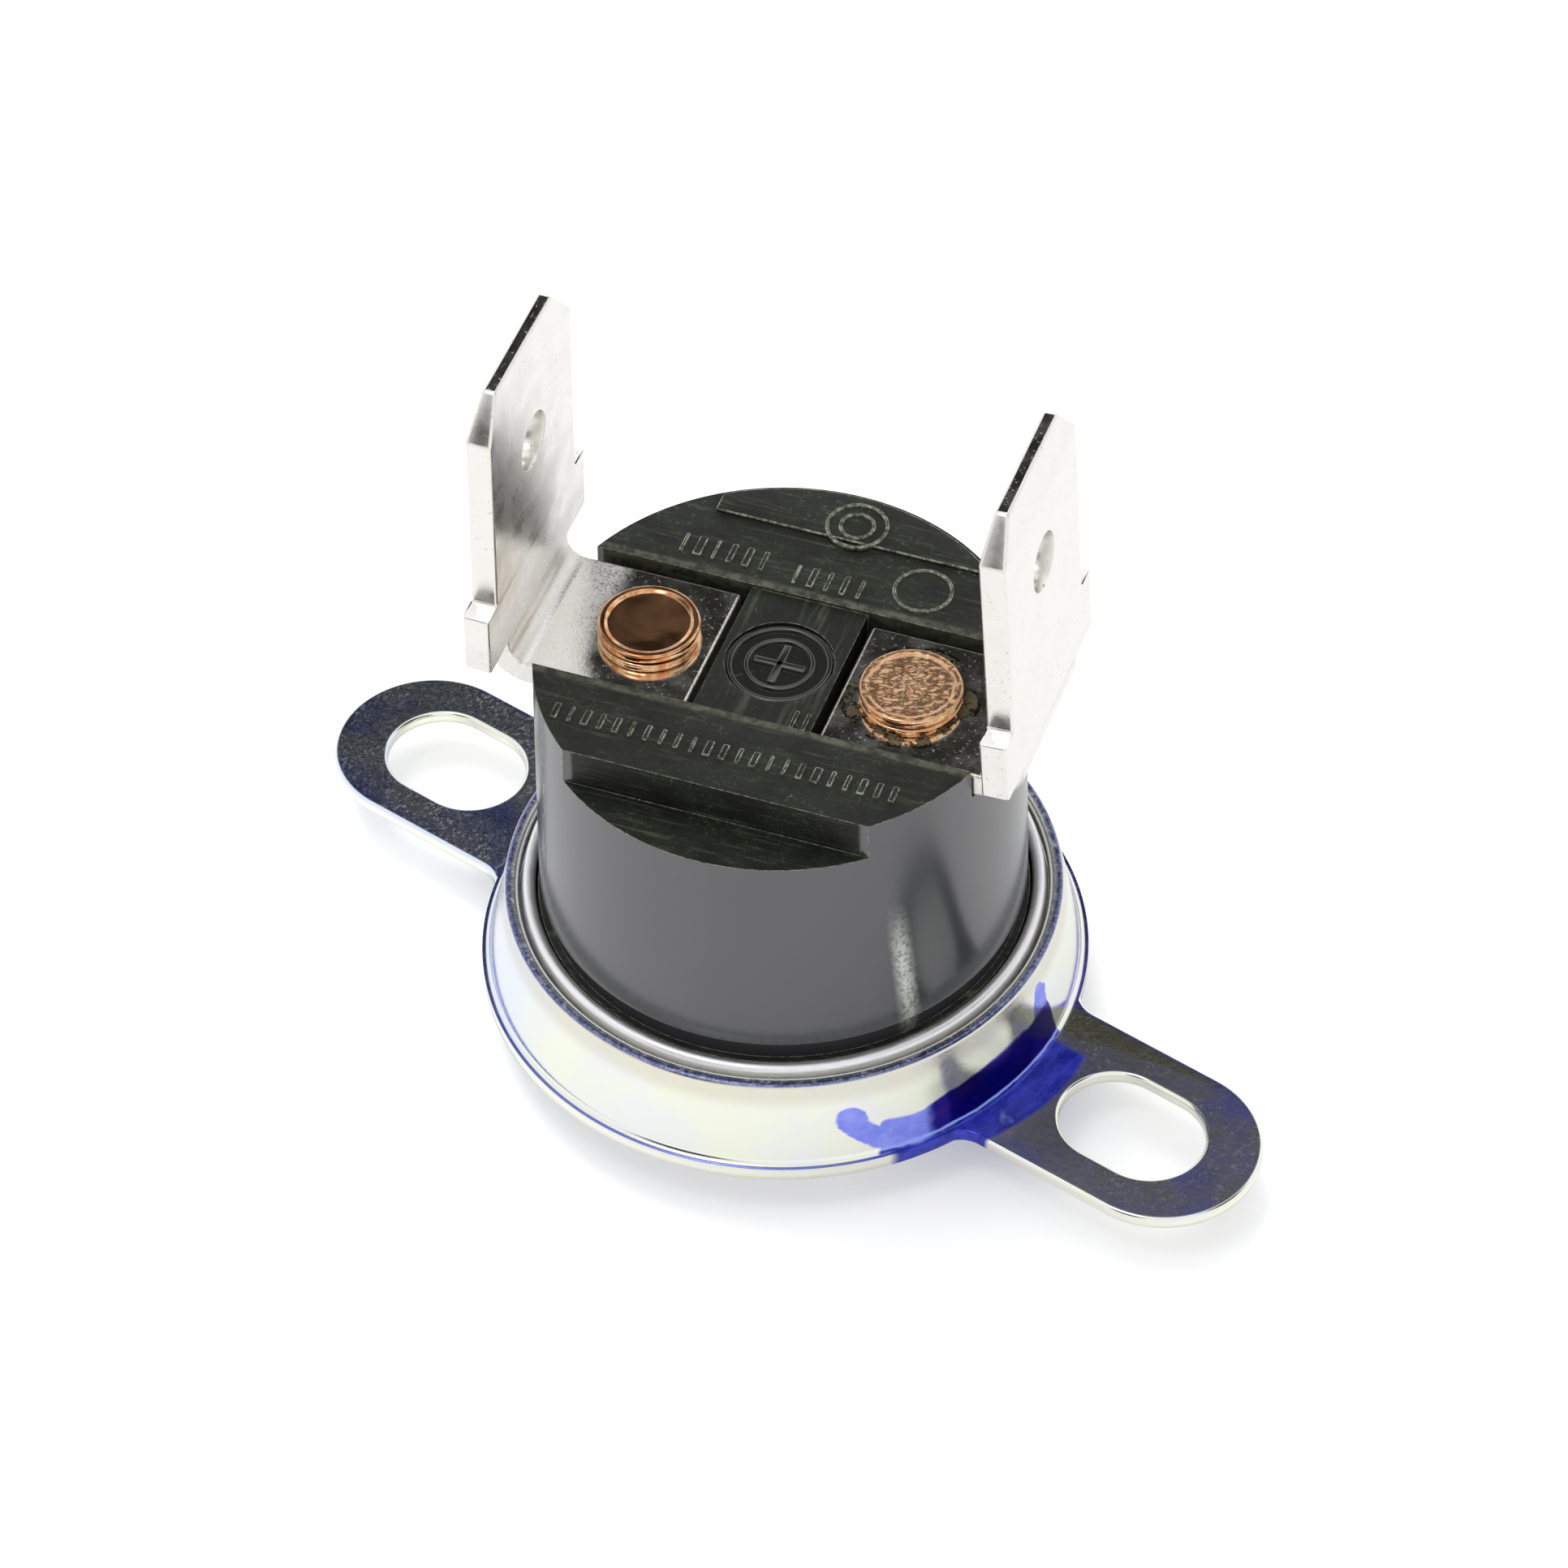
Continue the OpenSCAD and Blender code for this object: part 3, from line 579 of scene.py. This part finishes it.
def new_tree(name, sockets):
    """A new Geometry Nodes tree that gives out a shape, and the outputs of its inputs' node."""
    tree = bpy.data.node_groups.new(name, "GeometryNodeTree")
    for label, kind in sockets:
        tree.interface.new_socket(label, in_out="INPUT", socket_type="NodeSocket" + kind)
    tree.interface.new_socket("Shape", in_out="OUTPUT", socket_type="NodeSocketGeometry")
    return tree, add(tree, "NodeGroupInput", (), None).outputs


def end_tree(tree, shape, finish_with):
    whole = add(tree, "GeometryNodeRealizeInstances", {"Geometry": shape})
    dressed = add(tree, "GeometryNodeSetMaterial", {"Geometry": whole, "Material": finish_with})
    add(tree, "NodeGroupOutput", {"Shape": dressed}, None)
    return tree


def worked(mesh, tree, values):
    """A mesh after a Geometry Nodes tree, whose inputs get the given values."""
    ob = new_object(mesh.name, mesh)
    work = ob.modifiers.new("work", "NODES")
    work.node_group = tree
    for item in tree.interface.items_tree:
        if item.in_out == "INPUT" and item.name in values:
            work[item.identifier] = values[item.name]
    return settled(ob)


def turning_tree():
    """Geometry Nodes: sweeps a section round the Z axis and welds it where it meets the axis."""
    tree, given = new_tree("turned section", (("Section", "Geometry"), ("Steps", "Int"),
                                              ("Guide radius", "Float"), ("Finish", "Material")))
    section = add(tree, "GeometryNodeMeshToCurve", {"Mesh": given["Section"]})
    circle = add(tree, "GeometryNodeCurvePrimitiveCircle",
                 {"Resolution": given["Steps"], "Radius": given["Guide radius"]})
    swept = add(tree, "GeometryNodeCurveToMesh", {"Curve": circle, "Profile Curve": section})
    closed = add(tree, "GeometryNodeMergeByDistance",
                 {"Geometry": swept, "Distance": SAME_POINT})
    return end_tree(tree, closed, given["Finish"])


TURNING = turning_tree()
GUIDE_RADIUS = 8 * MM


def turned(name, section, finish_with, steps=ROUND_STEPS):
    """A solid turned from a closed section of (radius, height)."""
    mesh = bpy.data.meshes.new(name)
    edges = [(i, (i + 1) % len(section)) for i in range(len(section))]
    mesh.from_pydata([(p[0] * MM - GUIDE_RADIUS, -p[1] * MM, 0) for p in section], edges, [])
    return outwards(worked(mesh, TURNING, {"Steps": steps, "Guide radius": GUIDE_RADIUS,
                                           "Finish": finish_with}))


def carved(mesh, *steps):
    """Cuts away or adds further solids in turn."""
    ob = new_object(mesh.name, mesh)
    tools = []
    for how, tool in steps:
        tools.append(new_object("tool", tool))
        cut = ob.modifiers.new(how, "BOOLEAN")
        cut.operation, cut.solver, cut.object = how, "EXACT", tools[-1]
    made = settled(ob)
    for tool_ob in tools:
        bpy.data.objects.remove(tool_ob)
    return made


def eased(mesh, width, segments=2, sharper_than=35, edge_material=-1, weld=0.01):
    """Rounds every edge that is sharper than an angle in degrees. Points closer than the weld
    are merged first, because a short edge holds the rounding back."""
    ob = new_object(mesh.name, welded(mesh, weld * MM))
    bevel = ob.modifiers.new("ease", "BEVEL")
    bevel.width, bevel.segments = width * MM, segments
    bevel.limit_method, bevel.angle_limit = "ANGLE", radians(sharper_than)
    bevel.material = edge_material
    return settled(ob)


def smooth(mesh, sharp=40):
    """Shades bevels and bends round, and leaves large flat faces flat."""
    welded(mesh, SAME_POINT)
    mesh.polygons.foreach_set("use_smooth", [True] * len(mesh.polygons))
    mesh.set_sharp_from_angle(angle=radians(sharp))
    ob = new_object(mesh.name, mesh)
    weigh = ob.modifiers.new("weigh", "WEIGHTED_NORMAL")
    weigh.keep_sharp = True
    return settled(ob)


def dressed_in(mesh, materials):
    mesh.materials.clear()
    for material in materials:
        mesh.materials.append(material)


def two_finishes(mesh, first, second):
    """Gives a mesh one finish, with a second slot for edges that are eased later."""
    mesh.polygons.foreach_set("material_index", [0] * len(mesh.polygons))
    dressed_in(mesh, (first, second))
    return mesh


def show(name, mesh, materials, body, node):
    """Puts a finished mesh on its body, in place of its CAD node."""
    mesh = smooth(mesh)
    used = [face.material_index for face in mesh.polygons]
    dressed_in(mesh, materials)
    mesh.polygons.foreach_set("material_index", used)
    ob = new_object(name, mesh)
    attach(ob, body)
    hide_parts(node)


AT_TERMINALS = Matrix.Rotation(TERMINAL_TURN, 4, "Z")


# Cap

CAP_R, CAP_T, CAP_WALL, CRIMP_H, CRIMP_LEAN = 8.15, 0.4, 3.4, 1.5, 0.3
CAP_FOOT_ROUND, CAP_BEND_ROUND, CAP_FLOOR_ROUND = 0.6, 0.9, 0.2
# Nearly half the sheet's thickness, so that the rim is round
RIM_ROUND = 0.19
RIM_TOP = CAP_WALL + CRIMP_H
CAP_IN = CAP_R - CAP_T

cap_mesh = turned("cap", rounded([
    (0, 0, 0), (CAP_R, 0, CAP_FOOT_ROUND), (CAP_R, CAP_WALL, CAP_BEND_ROUND),
    (CAP_R - CRIMP_LEAN, RIM_TOP, RIM_ROUND), (CAP_IN - CRIMP_LEAN, RIM_TOP, RIM_ROUND),
    (CAP_IN, CAP_WALL, CAP_BEND_ROUND), (CAP_IN, CAP_T, CAP_FLOOR_ROUND),
    (0, CAP_T, 0)]), ALUMINIUM)
show("cap_drawn", cap_mesh, [ALUMINIUM], "thermostat", "cap")


# Bracket

SHEET, LIP_TOP = 0.45, EAR_TOP + COLLAR_H
LIP_ROUND, FOOT_ROUND, SLOPE, LIP_LAND, BRIM = 0.48, 0.2, radians(12), 0.03, 0.05
# The lip is coined flat, so that its outer edge is tighter than the bend
LIP_EDGE, LIP_INNER = 0.16, 0.2
SLOT_X, SLOT_W, SLOT_LEN, EAR_W, EAR_END, EAR_FILLET = 12.8, 3.4, 4.6, 6.0, 16.85, 0.9
# How far the ears run in under the collar's foot, and how wide the sheet's edges are eased
EAR_BITE, EAR_EASE, COLLAR_EASE = 0.25, 0.12, 0.05


def wall_at(depth, height):
    """Radius of a line along the collar's wall, at a depth from the lip's centre line."""
    drop = LIP_TOP - LIP_ROUND - height
    return HOLE_R + LIP_LAND + (depth + drop * sin(SLOPE)) / cos(SLOPE)


FOOT_X = wall_at(LIP_ROUND + FOOT_ROUND, EAR_TOP + FOOT_ROUND)
BRIM_R = FOOT_X + BRIM


def collar_section():
    under, inner = EAR_TOP - SHEET, LIP_ROUND - SHEET
    return rounded([
        (HOLE_R, LIP_TOP, LIP_INNER), (wall_at(LIP_ROUND, LIP_TOP), LIP_TOP, LIP_EDGE),
        (wall_at(LIP_ROUND, EAR_TOP), EAR_TOP, FOOT_ROUND), (BRIM_R, EAR_TOP, 0),
        (BRIM_R, under, 0), (wall_at(inner, under), under, FOOT_ROUND + SHEET),
        (wall_at(inner, LIP_TOP - SHEET), LIP_TOP - SHEET, 0),
        (HOLE_R, LIP_TOP - SHEET, 0)], 10)


def ear_outline():
    """One ear with its root fillets, from the collar's foot out to its round tip."""
    side = EAR_W / 2
    reach = BRIM_R + EAR_FILLET
    root = (sqrt(reach ** 2 - (side + EAR_FILLET) ** 2), side + EAR_FILLET)
    turn = degrees(atan2(root[1], root[0]))
    top = arc(root, EAR_FILLET, 180 + turn, 270, 8)
    tip = arc((EAR_END - side, 0), side, 90, -90, 48)
    bottom = [(x, -y) for x, y in reversed(top)]
    foot = arc((0, 0), FOOT_X - EAR_BITE, -turn, turn, 16)
    return top + tip + bottom + foot


def slot_outline():
    half, end = (SLOT_LEN - SLOT_W) / 2, SLOT_W / 2
    return arc((SLOT_X + half, 0), end, 90, -90, 32) + arc((SLOT_X - half, 0), end, 270, 90, 32)


def bracket_shape():
    """The collar with its ears. Each ear is eased by itself, before it joins the collar."""
    ears = []
    for turn in (0, pi):
        about = Matrix.Rotation(turn, 4, "Z")
        ear = prism("ear", ear_outline(), EAR_TOP - SHEET, EAR_TOP, about)
        slot = prism("slot", slot_outline(), 0, EAR_TOP + SHEET, about)
        ears.append(("UNION", eased(carved(ear, ("DIFFERENCE", slot)), EAR_EASE, 4, 50)))
    collar = turned("bracket", collar_section(), ZINC, 256)
    return eased(carved(collar, *ears), COLLAR_EASE, 2, 50)


show("bracket_plated", bracket_shape(), [ZINC], "bracket", "mounting_bracket")


# Housing

TOP, TOP_R, FOOT_R, NECK_R, FLANGE_R = 14.05, 7.2, 7.35, 7.2, 7.71
ARM_FLOOR, BAR_TOP = 13.0, 13.93
BAR_HALF, BAR_REACH = 1.8, 2.0
CHANNEL_FRONT, CHANNEL_BACK = -2.5, 2.65
FLAT_Y, LEDGE = -5.5, 12.77
NECK_LOW, NECK_HIGH, NECK_CHAMFER, PLATE_TOP, SEAT_PLAY = 4.7, 5.4, 0.15, 2.9, 0.04
SUNK_R, SUNK = 1.62, 0.16
CAVITY_X, CAVITY_Y, CAVITY_TOP = 5.6, 1.75, 9.8
# Cuts run on past the housing's side and top
PAST_SIDE, PAST_TOP = 9, 15
# Forms on the top: marks, the land at the back, ribs on the bar, and rings in the medallion
MARK_H, MARK_W, ROOT = 0.05, 0.15, 0.2
LAND_X, LAND_Y, LAND_H, LAND_EDGE = (-3.9, 5.1), 5.2, 0.1, 0.12
RIB_X, RIB_Y, RIB_W, RIB_H = (1.14, 1.5), (-2.45, -1.75), 0.14, 0.06
MEDAL_RINGS, MEDAL_SUNK = ((1.47, 0.18), (0.98, 0.16)), 0.05
CROSS_LONG, CROSS_HALF = 0.8, 0.13
# Rows of bars: start, place in depth, count, pitch, length and seed
BAR_ROWS = ((-5.4, -4.08, 23, 0.47, 0.62, 3), (-4.3, 3.65, 6, 0.5, 0.8, 5),
            (-0.7, 3.45, 5, 0.5, 0.8, 8))
# Raised rings: place across, in depth and in height, and radius
TOP_RINGS = ((0.35, 5.85, TOP + LAND_H, 0.9), (0.35, 5.85, TOP + LAND_H, 0.5),
             (3.05, 4.0, TOP, 0.85))
RING_W = 0.13
# How wide the edges of each form are eased
BODY_EASE, LAND_EASE, RIB_EASE, CROSS_EASE, MARK_EASE = 0.07, 0.05, 0.03, 0.06, 0.055
# Points this close are one before easing, because the turned edges have short steps
STEP_WELD = 0.07


def moulded(mesh, width, segments=2, weld=0.01):
    """Eases the edges of a form of the moulding and gives them their rubbed finish, which is
    partly a painted highlight.
    """
    return eased(two_finishes(mesh, PHENOLIC, WORN_EDGE_AND_HIGHLIGHT), width, segments, 35, 1, weld)


def bars_tree():
    """Geometry Nodes: a row of short raised bars whose widths vary a little."""
    tree, given = new_tree("row of bars", (("Count", "Int"), ("Pitch", "Float"),
                                           ("Bar", "Vector"), ("Seed", "Int"),
                                           ("Finish", "Material")))
    step = add(tree, JOIN, {"X": given["Pitch"]})
    row = add(tree, "GeometryNodeMeshLine", {"Count": given["Count"], "Offset": step})
    bar = add(tree, "GeometryNodeMeshCube", {"Size": given["Bar"]})
    sizes = add(tree, "FunctionNodeRandomValue",
                {0: (0.7, 1.0, 1.0), 1: (1.9, 1.0, 1.0), "Seed": given["Seed"]},
                data_type="FLOAT_VECTOR")
    bars = add(tree, "GeometryNodeInstanceOnPoints",
               {"Points": row, "Instance": bar, "Scale": sizes})
    return end_tree(tree, bars, given["Finish"])


BARS = bars_tree()


def bar_row(start, y, count, pitch, length, seed):
    """A row of raised bars on the housing's top, in place of moulded marks."""
    size = (MARK_W * MM, length * MM, 2 * MARK_H * MM)
    mesh = worked(bpy.data.meshes.new("bars"), BARS, {
        "Count": count, "Pitch": pitch * MM, "Seed": seed, "Finish": PHENOLIC, "Bar": size})
    mesh = moulded(mesh, MARK_EASE)
    mesh.transform(Matrix.Translation(Vector((start, y, TOP)) * MM))
    return mesh


def raised_ring(x, y, z, radius):
    """A plain raised ring, such as an ejector pin leaves."""
    inner, outer = radius - RING_W / 2, radius + RING_W / 2
    mesh = moulded(turned("ring", [(inner, -0.1), (outer, -0.1), (outer, MARK_H),
                                   (inner, MARK_H)], PHENOLIC, 72), MARK_EASE)
    mesh.transform(Matrix.Translation(Vector((x, y, z)) * MM))
    return mesh


def medallion():
    """Two rings and a plain cross, which stand on the medallion's sunk floor."""
    low, high = BAR_TOP - ROOT, BAR_TOP - MEDAL_SUNK
    forms = []
    for radius, width in MEDAL_RINGS:
        inner, outer = radius - width / 2, radius + width / 2
        ring = turned("ring", rounded([(inner, low, 0), (outer, low, 0), (outer, high, 0.07),
                                       (inner, high, 0.07)], 4), PHENOLIC, 96)
        forms.append(two_finishes(ring, PHENOLIC, WORN_EDGE_AND_HIGHLIGHT))
    for x, y in ((CROSS_LONG, CROSS_HALF), (CROSS_HALF, CROSS_LONG)):
        bar = prism("bar", box_outline(-x, -y, x, y), low, high)
        forms.append(eased(two_finishes(bar, PHENOLIC, WORN_EDGE_AND_HIGHLIGHT), CROSS_EASE, 3))
    return forms


def back_land():
    """The land at the back of the top, a round plate's edge between two upright cuts."""
    reach = TOP_R - LAND_EDGE
    land = turned("land", [(0, TOP - ROOT), (reach, TOP - ROOT), (reach, TOP + LAND_H),
                           (0, TOP + LAND_H)], PHENOLIC)
    edge = prism("edge", box_outline(LAND_X[0], LAND_Y, LAND_X[1], PAST_SIDE), TOP - 1, TOP + 1)
    return moulded(carved(land, ("INTERSECT", edge)), LAND_EASE, weld=STEP_WELD)


def housing_shape():
    body = turned("housing", [
        (0, PLATE_TOP), (FLANGE_R, PLATE_TOP), (FLANGE_R, CAP_WALL - SEAT_PLAY),
        (FLANGE_R - CRIMP_LEAN, NECK_LOW), (NECK_R, NECK_LOW),
        (NECK_R, NECK_HIGH - NECK_CHAMFER), (FOOT_R, NECK_HIGH), (TOP_R, TOP),
        (0, TOP)], PHENOLIC)
    channels = [(x0, CHANNEL_FRONT, x1, CHANNEL_BACK) for x0, x1 in (
        (-PAST_SIDE, -BAR_HALF), (BAR_HALF, PAST_SIDE), (-BAR_REACH, BAR_REACH))]
    cuts = [(box_outline(*channels[0]), ARM_FLOOR, PAST_TOP),
            (box_outline(*channels[1]), ARM_FLOOR, PAST_TOP),
            (box_outline(*channels[2]), BAR_TOP, PAST_TOP),
            (box_outline(-PAST_SIDE, -PAST_SIDE, PAST_SIDE, FLAT_Y), LEDGE, PAST_TOP),
            (disc_outline(SUNK_R), BAR_TOP - SUNK, PAST_TOP),
            (box_outline(-CAVITY_X, -CAVITY_Y, CAVITY_X, CAVITY_Y), PLATE_TOP - 1, CAVITY_TOP)]
    body = carved(body, *[("DIFFERENCE", prism("cut", *cut)) for cut in cuts])
    forms = [back_land()]
    for x in RIB_X:
        rib = prism("rib", box_outline(x, RIB_Y[0], x + RIB_W, RIB_Y[1]), BAR_TOP - ROOT,
                    BAR_TOP + RIB_H)
        forms.append(moulded(rib, RIB_EASE))
    forms += medallion()
    forms += [bar_row(*row) for row in BAR_ROWS] + [raised_ring(*ring) for ring in TOP_RINGS]
    shape = joined(moulded(body, BODY_EASE, 3, STEP_WELD), forms)
    shape.transform(AT_TERMINALS)
    return shape


show("housing_moulded", housing_shape(), [PHENOLIC, WORN_EDGE_AND_HIGHLIGHT], "thermostat", "housing")


# Terminals

STRIP_T, ARM_W, BLADE_W, SHOULDER_W = 0.8, 4.8, 6.3, 7.7
ARM_END, BEND_X, BEND_R, BEND_STEPS, BLADE_LEN = 2.05, 6.9, 0.6, 14, 9.8
SHOULDER_LO, SHOULDER_HI = 0.2, 2.3
TIP_W, TIP_H, TIP_T, DETENT_Z, DETENT_D = 4.3, 1.25, 0.42, BLADE_LEN - 3.7, 1.8
STRIP_EASE, DETENT_EASE = 0.09, 0.05


def terminal_rows(lean):
    """Sections along the strip: middle point, direction across its thickness, width and
    thickness. Then the blade's foot, its way up and its way out."""
    rows = [(Vector((ARM_END, 0, ARM_TOP - STRIP_T / 2)), Vector((0, 0, -1)), ARM_W, STRIP_T)]
    centre = Vector((BEND_X, 0, ARM_TOP + BEND_R))
    middle = BEND_R + STRIP_T / 2
    for k in range(BEND_STEPS + 1):
        turn = (pi / 2 + lean) * k / BEND_STEPS
        out = Vector((sin(turn), 0, -cos(turn)))
        rows.append((centre + out * middle, out, ARM_W, STRIP_T))
    along = Vector((-sin(lean), 0, cos(lean)))
    foot = centre + out * middle
    for up, width, thick in (
            (SHOULDER_LO, ARM_W, STRIP_T), (SHOULDER_LO, SHOULDER_W, STRIP_T),
            (SHOULDER_HI, SHOULDER_W, STRIP_T), (SHOULDER_HI, BLADE_W, STRIP_T),
            (BLADE_LEN - TIP_H, BLADE_W, STRIP_T), (BLADE_LEN, TIP_W, TIP_T)):
        rows.append((foot + along * up, out, width, thick))
    return rows, foot, along, out


def terminal_shape(name, lean):
    rows, foot, along, out = terminal_rows(lean)
    corners = ((-1, -1), (-1, 1), (1, 1), (1, -1))
    mesh = skinned(name, [[middle + across * (thick / 2 * s) + Vector((0, width / 2 * w, 0))
                           for s, w in corners] for middle, across, width, thick in rows])
    mesh = eased(two_finishes(mesh, NICKEL, BURR), STRIP_EASE, 3, 35, 1)
    # Rough edges stay on the arms only, because the blades' edges are clean
    for face in mesh.polygons:
        if face.center.z > (ARM_TOP + 0.05) * MM:
            face.material_index = 0
    turn = Matrix((along, Vector((0, 1, 0)), out)).transposed().to_4x4()
    hole = prism("detent", disc_outline(DETENT_D / 2), -1, 1,
                 Matrix.Translation(foot + along * DETENT_Z) @ turn)
    return eased(carved(mesh, ("DIFFERENCE", hole)), DETENT_EASE, 2, 60)


for side, turn, lean in (("left", pi, 1.0), ("right", 0, 2.8)):
    mesh = terminal_shape("terminal_" + side, radians(lean))
    mesh.transform(AT_TERMINALS @ Matrix.Rotation(turn, 4, "Z"))
    show("terminal_%s_plated" % side, mesh, [NICKEL, BURR], "thermostat", "terminal_" + side)


# Rivets

CLENCH_R, CLENCH_H, SHANK_R, ROOF_UNDER = 1.25, 0.45, 0.95, 9.8
HAMMER_DEPTH, HAMMER_GRAIN = 0.055, 0.24


def rivet_section(clench_top, sunk, rings):
    """Half section of a rivet. Its top is sunk inside a rim, and has a number of rings, so that
    it can be hammered."""
    top = ARM_TOP + HEAD_H
    groove = ARM_TOP + GROOVE
    outside = rounded([
        (0, clench_top - CLENCH_H, 0), (CLENCH_R, clench_top - CLENCH_H, 0.08),
        (CLENCH_R, clench_top, 0.02), (SHANK_R, clench_top, 0), (SHANK_R, ARM_TOP, 0),
        (HEAD_R - 0.06, ARM_TOP, 0.03), (HEAD_R, groove - 0.09, 0.05),
        (HEAD_R - 0.19, groove, 0.03), (HEAD_R, groove + 0.09, 0.06), (HEAD_R - 0.03, top, 0.1),
        (HEAD_R - 0.22, top, 0.12), (HEAD_R - 0.33, top - sunk, 0.12), (0, top - sunk, 0)], 5)
    inner = HEAD_R - 0.38
    return outside[:-1] + [(inner * (1 - k / rings), top - sunk) for k in range(1, rings + 1)]


def hammering_tree():
    """Geometry Nodes: pits the upward faces of a shape with a grain of a given size."""
    tree, given = new_tree("hammered top", (("Shape", "Geometry"), ("Depth", "Float"),
                                            ("Grain", "Float"), ("Finish", "Material")))
    pits = add(tree, "ShaderNodeTexNoise", {
        "Vector": add(tree, "GeometryNodeInputPosition"), "Detail": 3.0, "Roughness": 0.65,
        "Scale": add(tree, MATH, (1.0, given["Grain"]), operation="DIVIDE")})
    facing = add(tree, SPLIT, (add(tree, "GeometryNodeInputNormal"),), "Z")
    depth = where(tree, add(tree, MATH, (pits, 2.0, -1.0), operation="MULTIPLY_ADD"),
                  given["Depth"], (facing, 0.9, 0.99))
    pitted = add(tree, "GeometryNodeSetPosition",
                 {"Geometry": given["Shape"], "Offset": add(tree, JOIN, {"Z": depth})})
    return end_tree(tree, pitted, given["Finish"])


HAMMERING = hammering_tree()

for side, along_x, held, sunk, rings in (("left", -RIVET_X, 0.4, 0.06, 2),
                                         ("right", RIVET_X, 0.25, 0.04, 30)):
    mesh = turned("rivet_" + side, rivet_section(ROOF_UNDER - held, sunk, rings), COPPER, 128)
    if side == "right":
        mesh = worked(mesh, HAMMERING, {"Depth": HAMMER_DEPTH * MM, "Finish": COPPER,
                                        "Grain": HAMMER_GRAIN * MM})
    mesh.transform(AT_TERMINALS @ Matrix.Translation((along_x * MM, 0, 0)))
    show("rivet_%s_struck" % side, mesh, [COPPER], "thermostat", "rivet_" + side)


# Pieces inside, kept from the model

INSIDE = {
    "bimetal_disc": plain_metal("rolled bimetal strip", "#a9a49c", "#8f8a84", 0.3),
    "guide_plate": plain_mould("brown moulded phenolic", "#4a2f22", "#3b251b", 0.5),
    "push_pin": plain_mould("unglazed steatite", "#ded7c6", "#cfc7b4", 0.6),
    "fixed_contact_plate": plain_metal("rolled brass", "#cda65a", "#b98f47", 0.28),
    "contact_spring": plain_metal("beryllium copper strip", "#c98a58", "#b57747", 0.25),
    "fixed_contact": plain_metal("silver alloy", "#dddcd8", "#c9c8c4", 0.25),
}
INSIDE["moving_contact"] = INSIDE["fixed_contact"]
for node_name, material in INSIDE.items():
    dressed_in(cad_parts[node_name].data, (material,))


# Floor, light and background

FLOOR_LIFT, FLOOR_HALF = 0.26, 3.0
# Ways to the dark figures: one on the camera's side of the table, and one on the right, which
# the right ear shows to the housing's side. Then where each one's soft edge starts
FIGURES = (((0.013, -0.886, 0.463), 0.95), ((0.627, 0.287, 0.724), 0.93))
FIGURE_EDGE = 0.975
# The dark part of the room: how far it lies on the far side, and its lower and upper edges
DARK_FAR, DARK_LOW, DARK_HIGH = (0.57, 0.63), (0.5, 0.6), (0.84, 0.9)


def white_floor():
    """Matt white card, lifted to the camera so that only the contact shadow is left grey."""
    mat, t, _ = shader("matt white card")
    card = add(t, "ShaderNodeBsdfPrincipled",
               {"Base Color": linear("#fafafa"), "Roughness": 0.9, "IOR": 1.3})
    seen = add(t, "ShaderNodeLightPath", out="Is Camera Ray")
    lift = add(t, "ShaderNodeEmission", {"Color": linear("#fdfdff"),
                                         "Strength": where(t, seen, FLOOR_LIFT)})
    both = add(t, "ShaderNodeAddShader", (card, lift))
    add(t, "ShaderNodeOutputMaterial", {"Surface": both}, None)
    return mat


def lay_floor():
    mesh = bpy.data.meshes.new("floor")
    corners = box_outline(-FLOOR_HALF, -FLOOR_HALF, FLOOR_HALF, FLOOR_HALF)
    mesh.from_pydata([(x, y, 0) for x, y in corners], [], [(0, 1, 2, 3)])
    mesh.materials.append(white_floor())
    new_object("floor", mesh)


def soft_room():
    """A pale room whose far side is dark above the table, which only polished metal shows."""
    world = bpy.data.worlds.new("room")
    bpy.context.scene.world = world
    world.use_nodes = True
    t = world.node_tree
    t.nodes.clear()
    way = add(t, "ShaderNodeTexCoord", out="Generated")
    height = add(t, SPLIT, (way,), "Z")
    rays = add(t, "ShaderNodeLightPath", (), None).outputs
    far_side = (-sin(CAM_AZIMUTH), cos(CAM_AZIMUTH), 0)
    away = add(t, VECTOR, (way, far_side), "Value", operation="DOT_PRODUCT")
    dark = where(t, (away, *DARK_FAR), (height, *DARK_LOW), (height, *DARK_HIGH, 1.0, 0.0))
    for figure, soft_from in FIGURES:
        facing = add(t, VECTOR, (way, figure), "Value", operation="DOT_PRODUCT")
        shape = where(t, (facing, soft_from, FIGURE_EDGE))
        dark = add(t, MATH, (dark, shape), operation="MAXIMUM")
    mirrored = coats(t, "#ffffff", ((height, 0.3, 0.8), "#f6f7f8"), (dark, "#242421"))
    shown = coats(t, "#e4e4e6", (rays["Is Glossy Ray"], mirrored),
                  (rays["Is Camera Ray"], "#ffffff"))
    back = add(t, "ShaderNodeBackground", {"Color": shown, "Strength": 1.0})
    add(t, "ShaderNodeOutputWorld", {"Surface": back}, None)


def lamp(name, at, size, power, mirrored):
    data = bpy.data.lights.new(name, "AREA")
    data.size, data.energy = size * MM, power
    ob = new_object(name, data)
    ob.location = Vector(at) * MM
    ob.rotation_mode = "QUATERNION"
    ob.rotation_quaternion = Vector(at).to_track_quat("Z", "Y")
    ob.visible_glossy = mirrored


lay_floor()
soft_room()
lamp("key", (-120, 60, 260), 160, 0.35, False)
lamp("strip", (-30, -90, 270), 70, 0.06, True)
bpy.context.scene.view_settings.view_transform = "Standard"
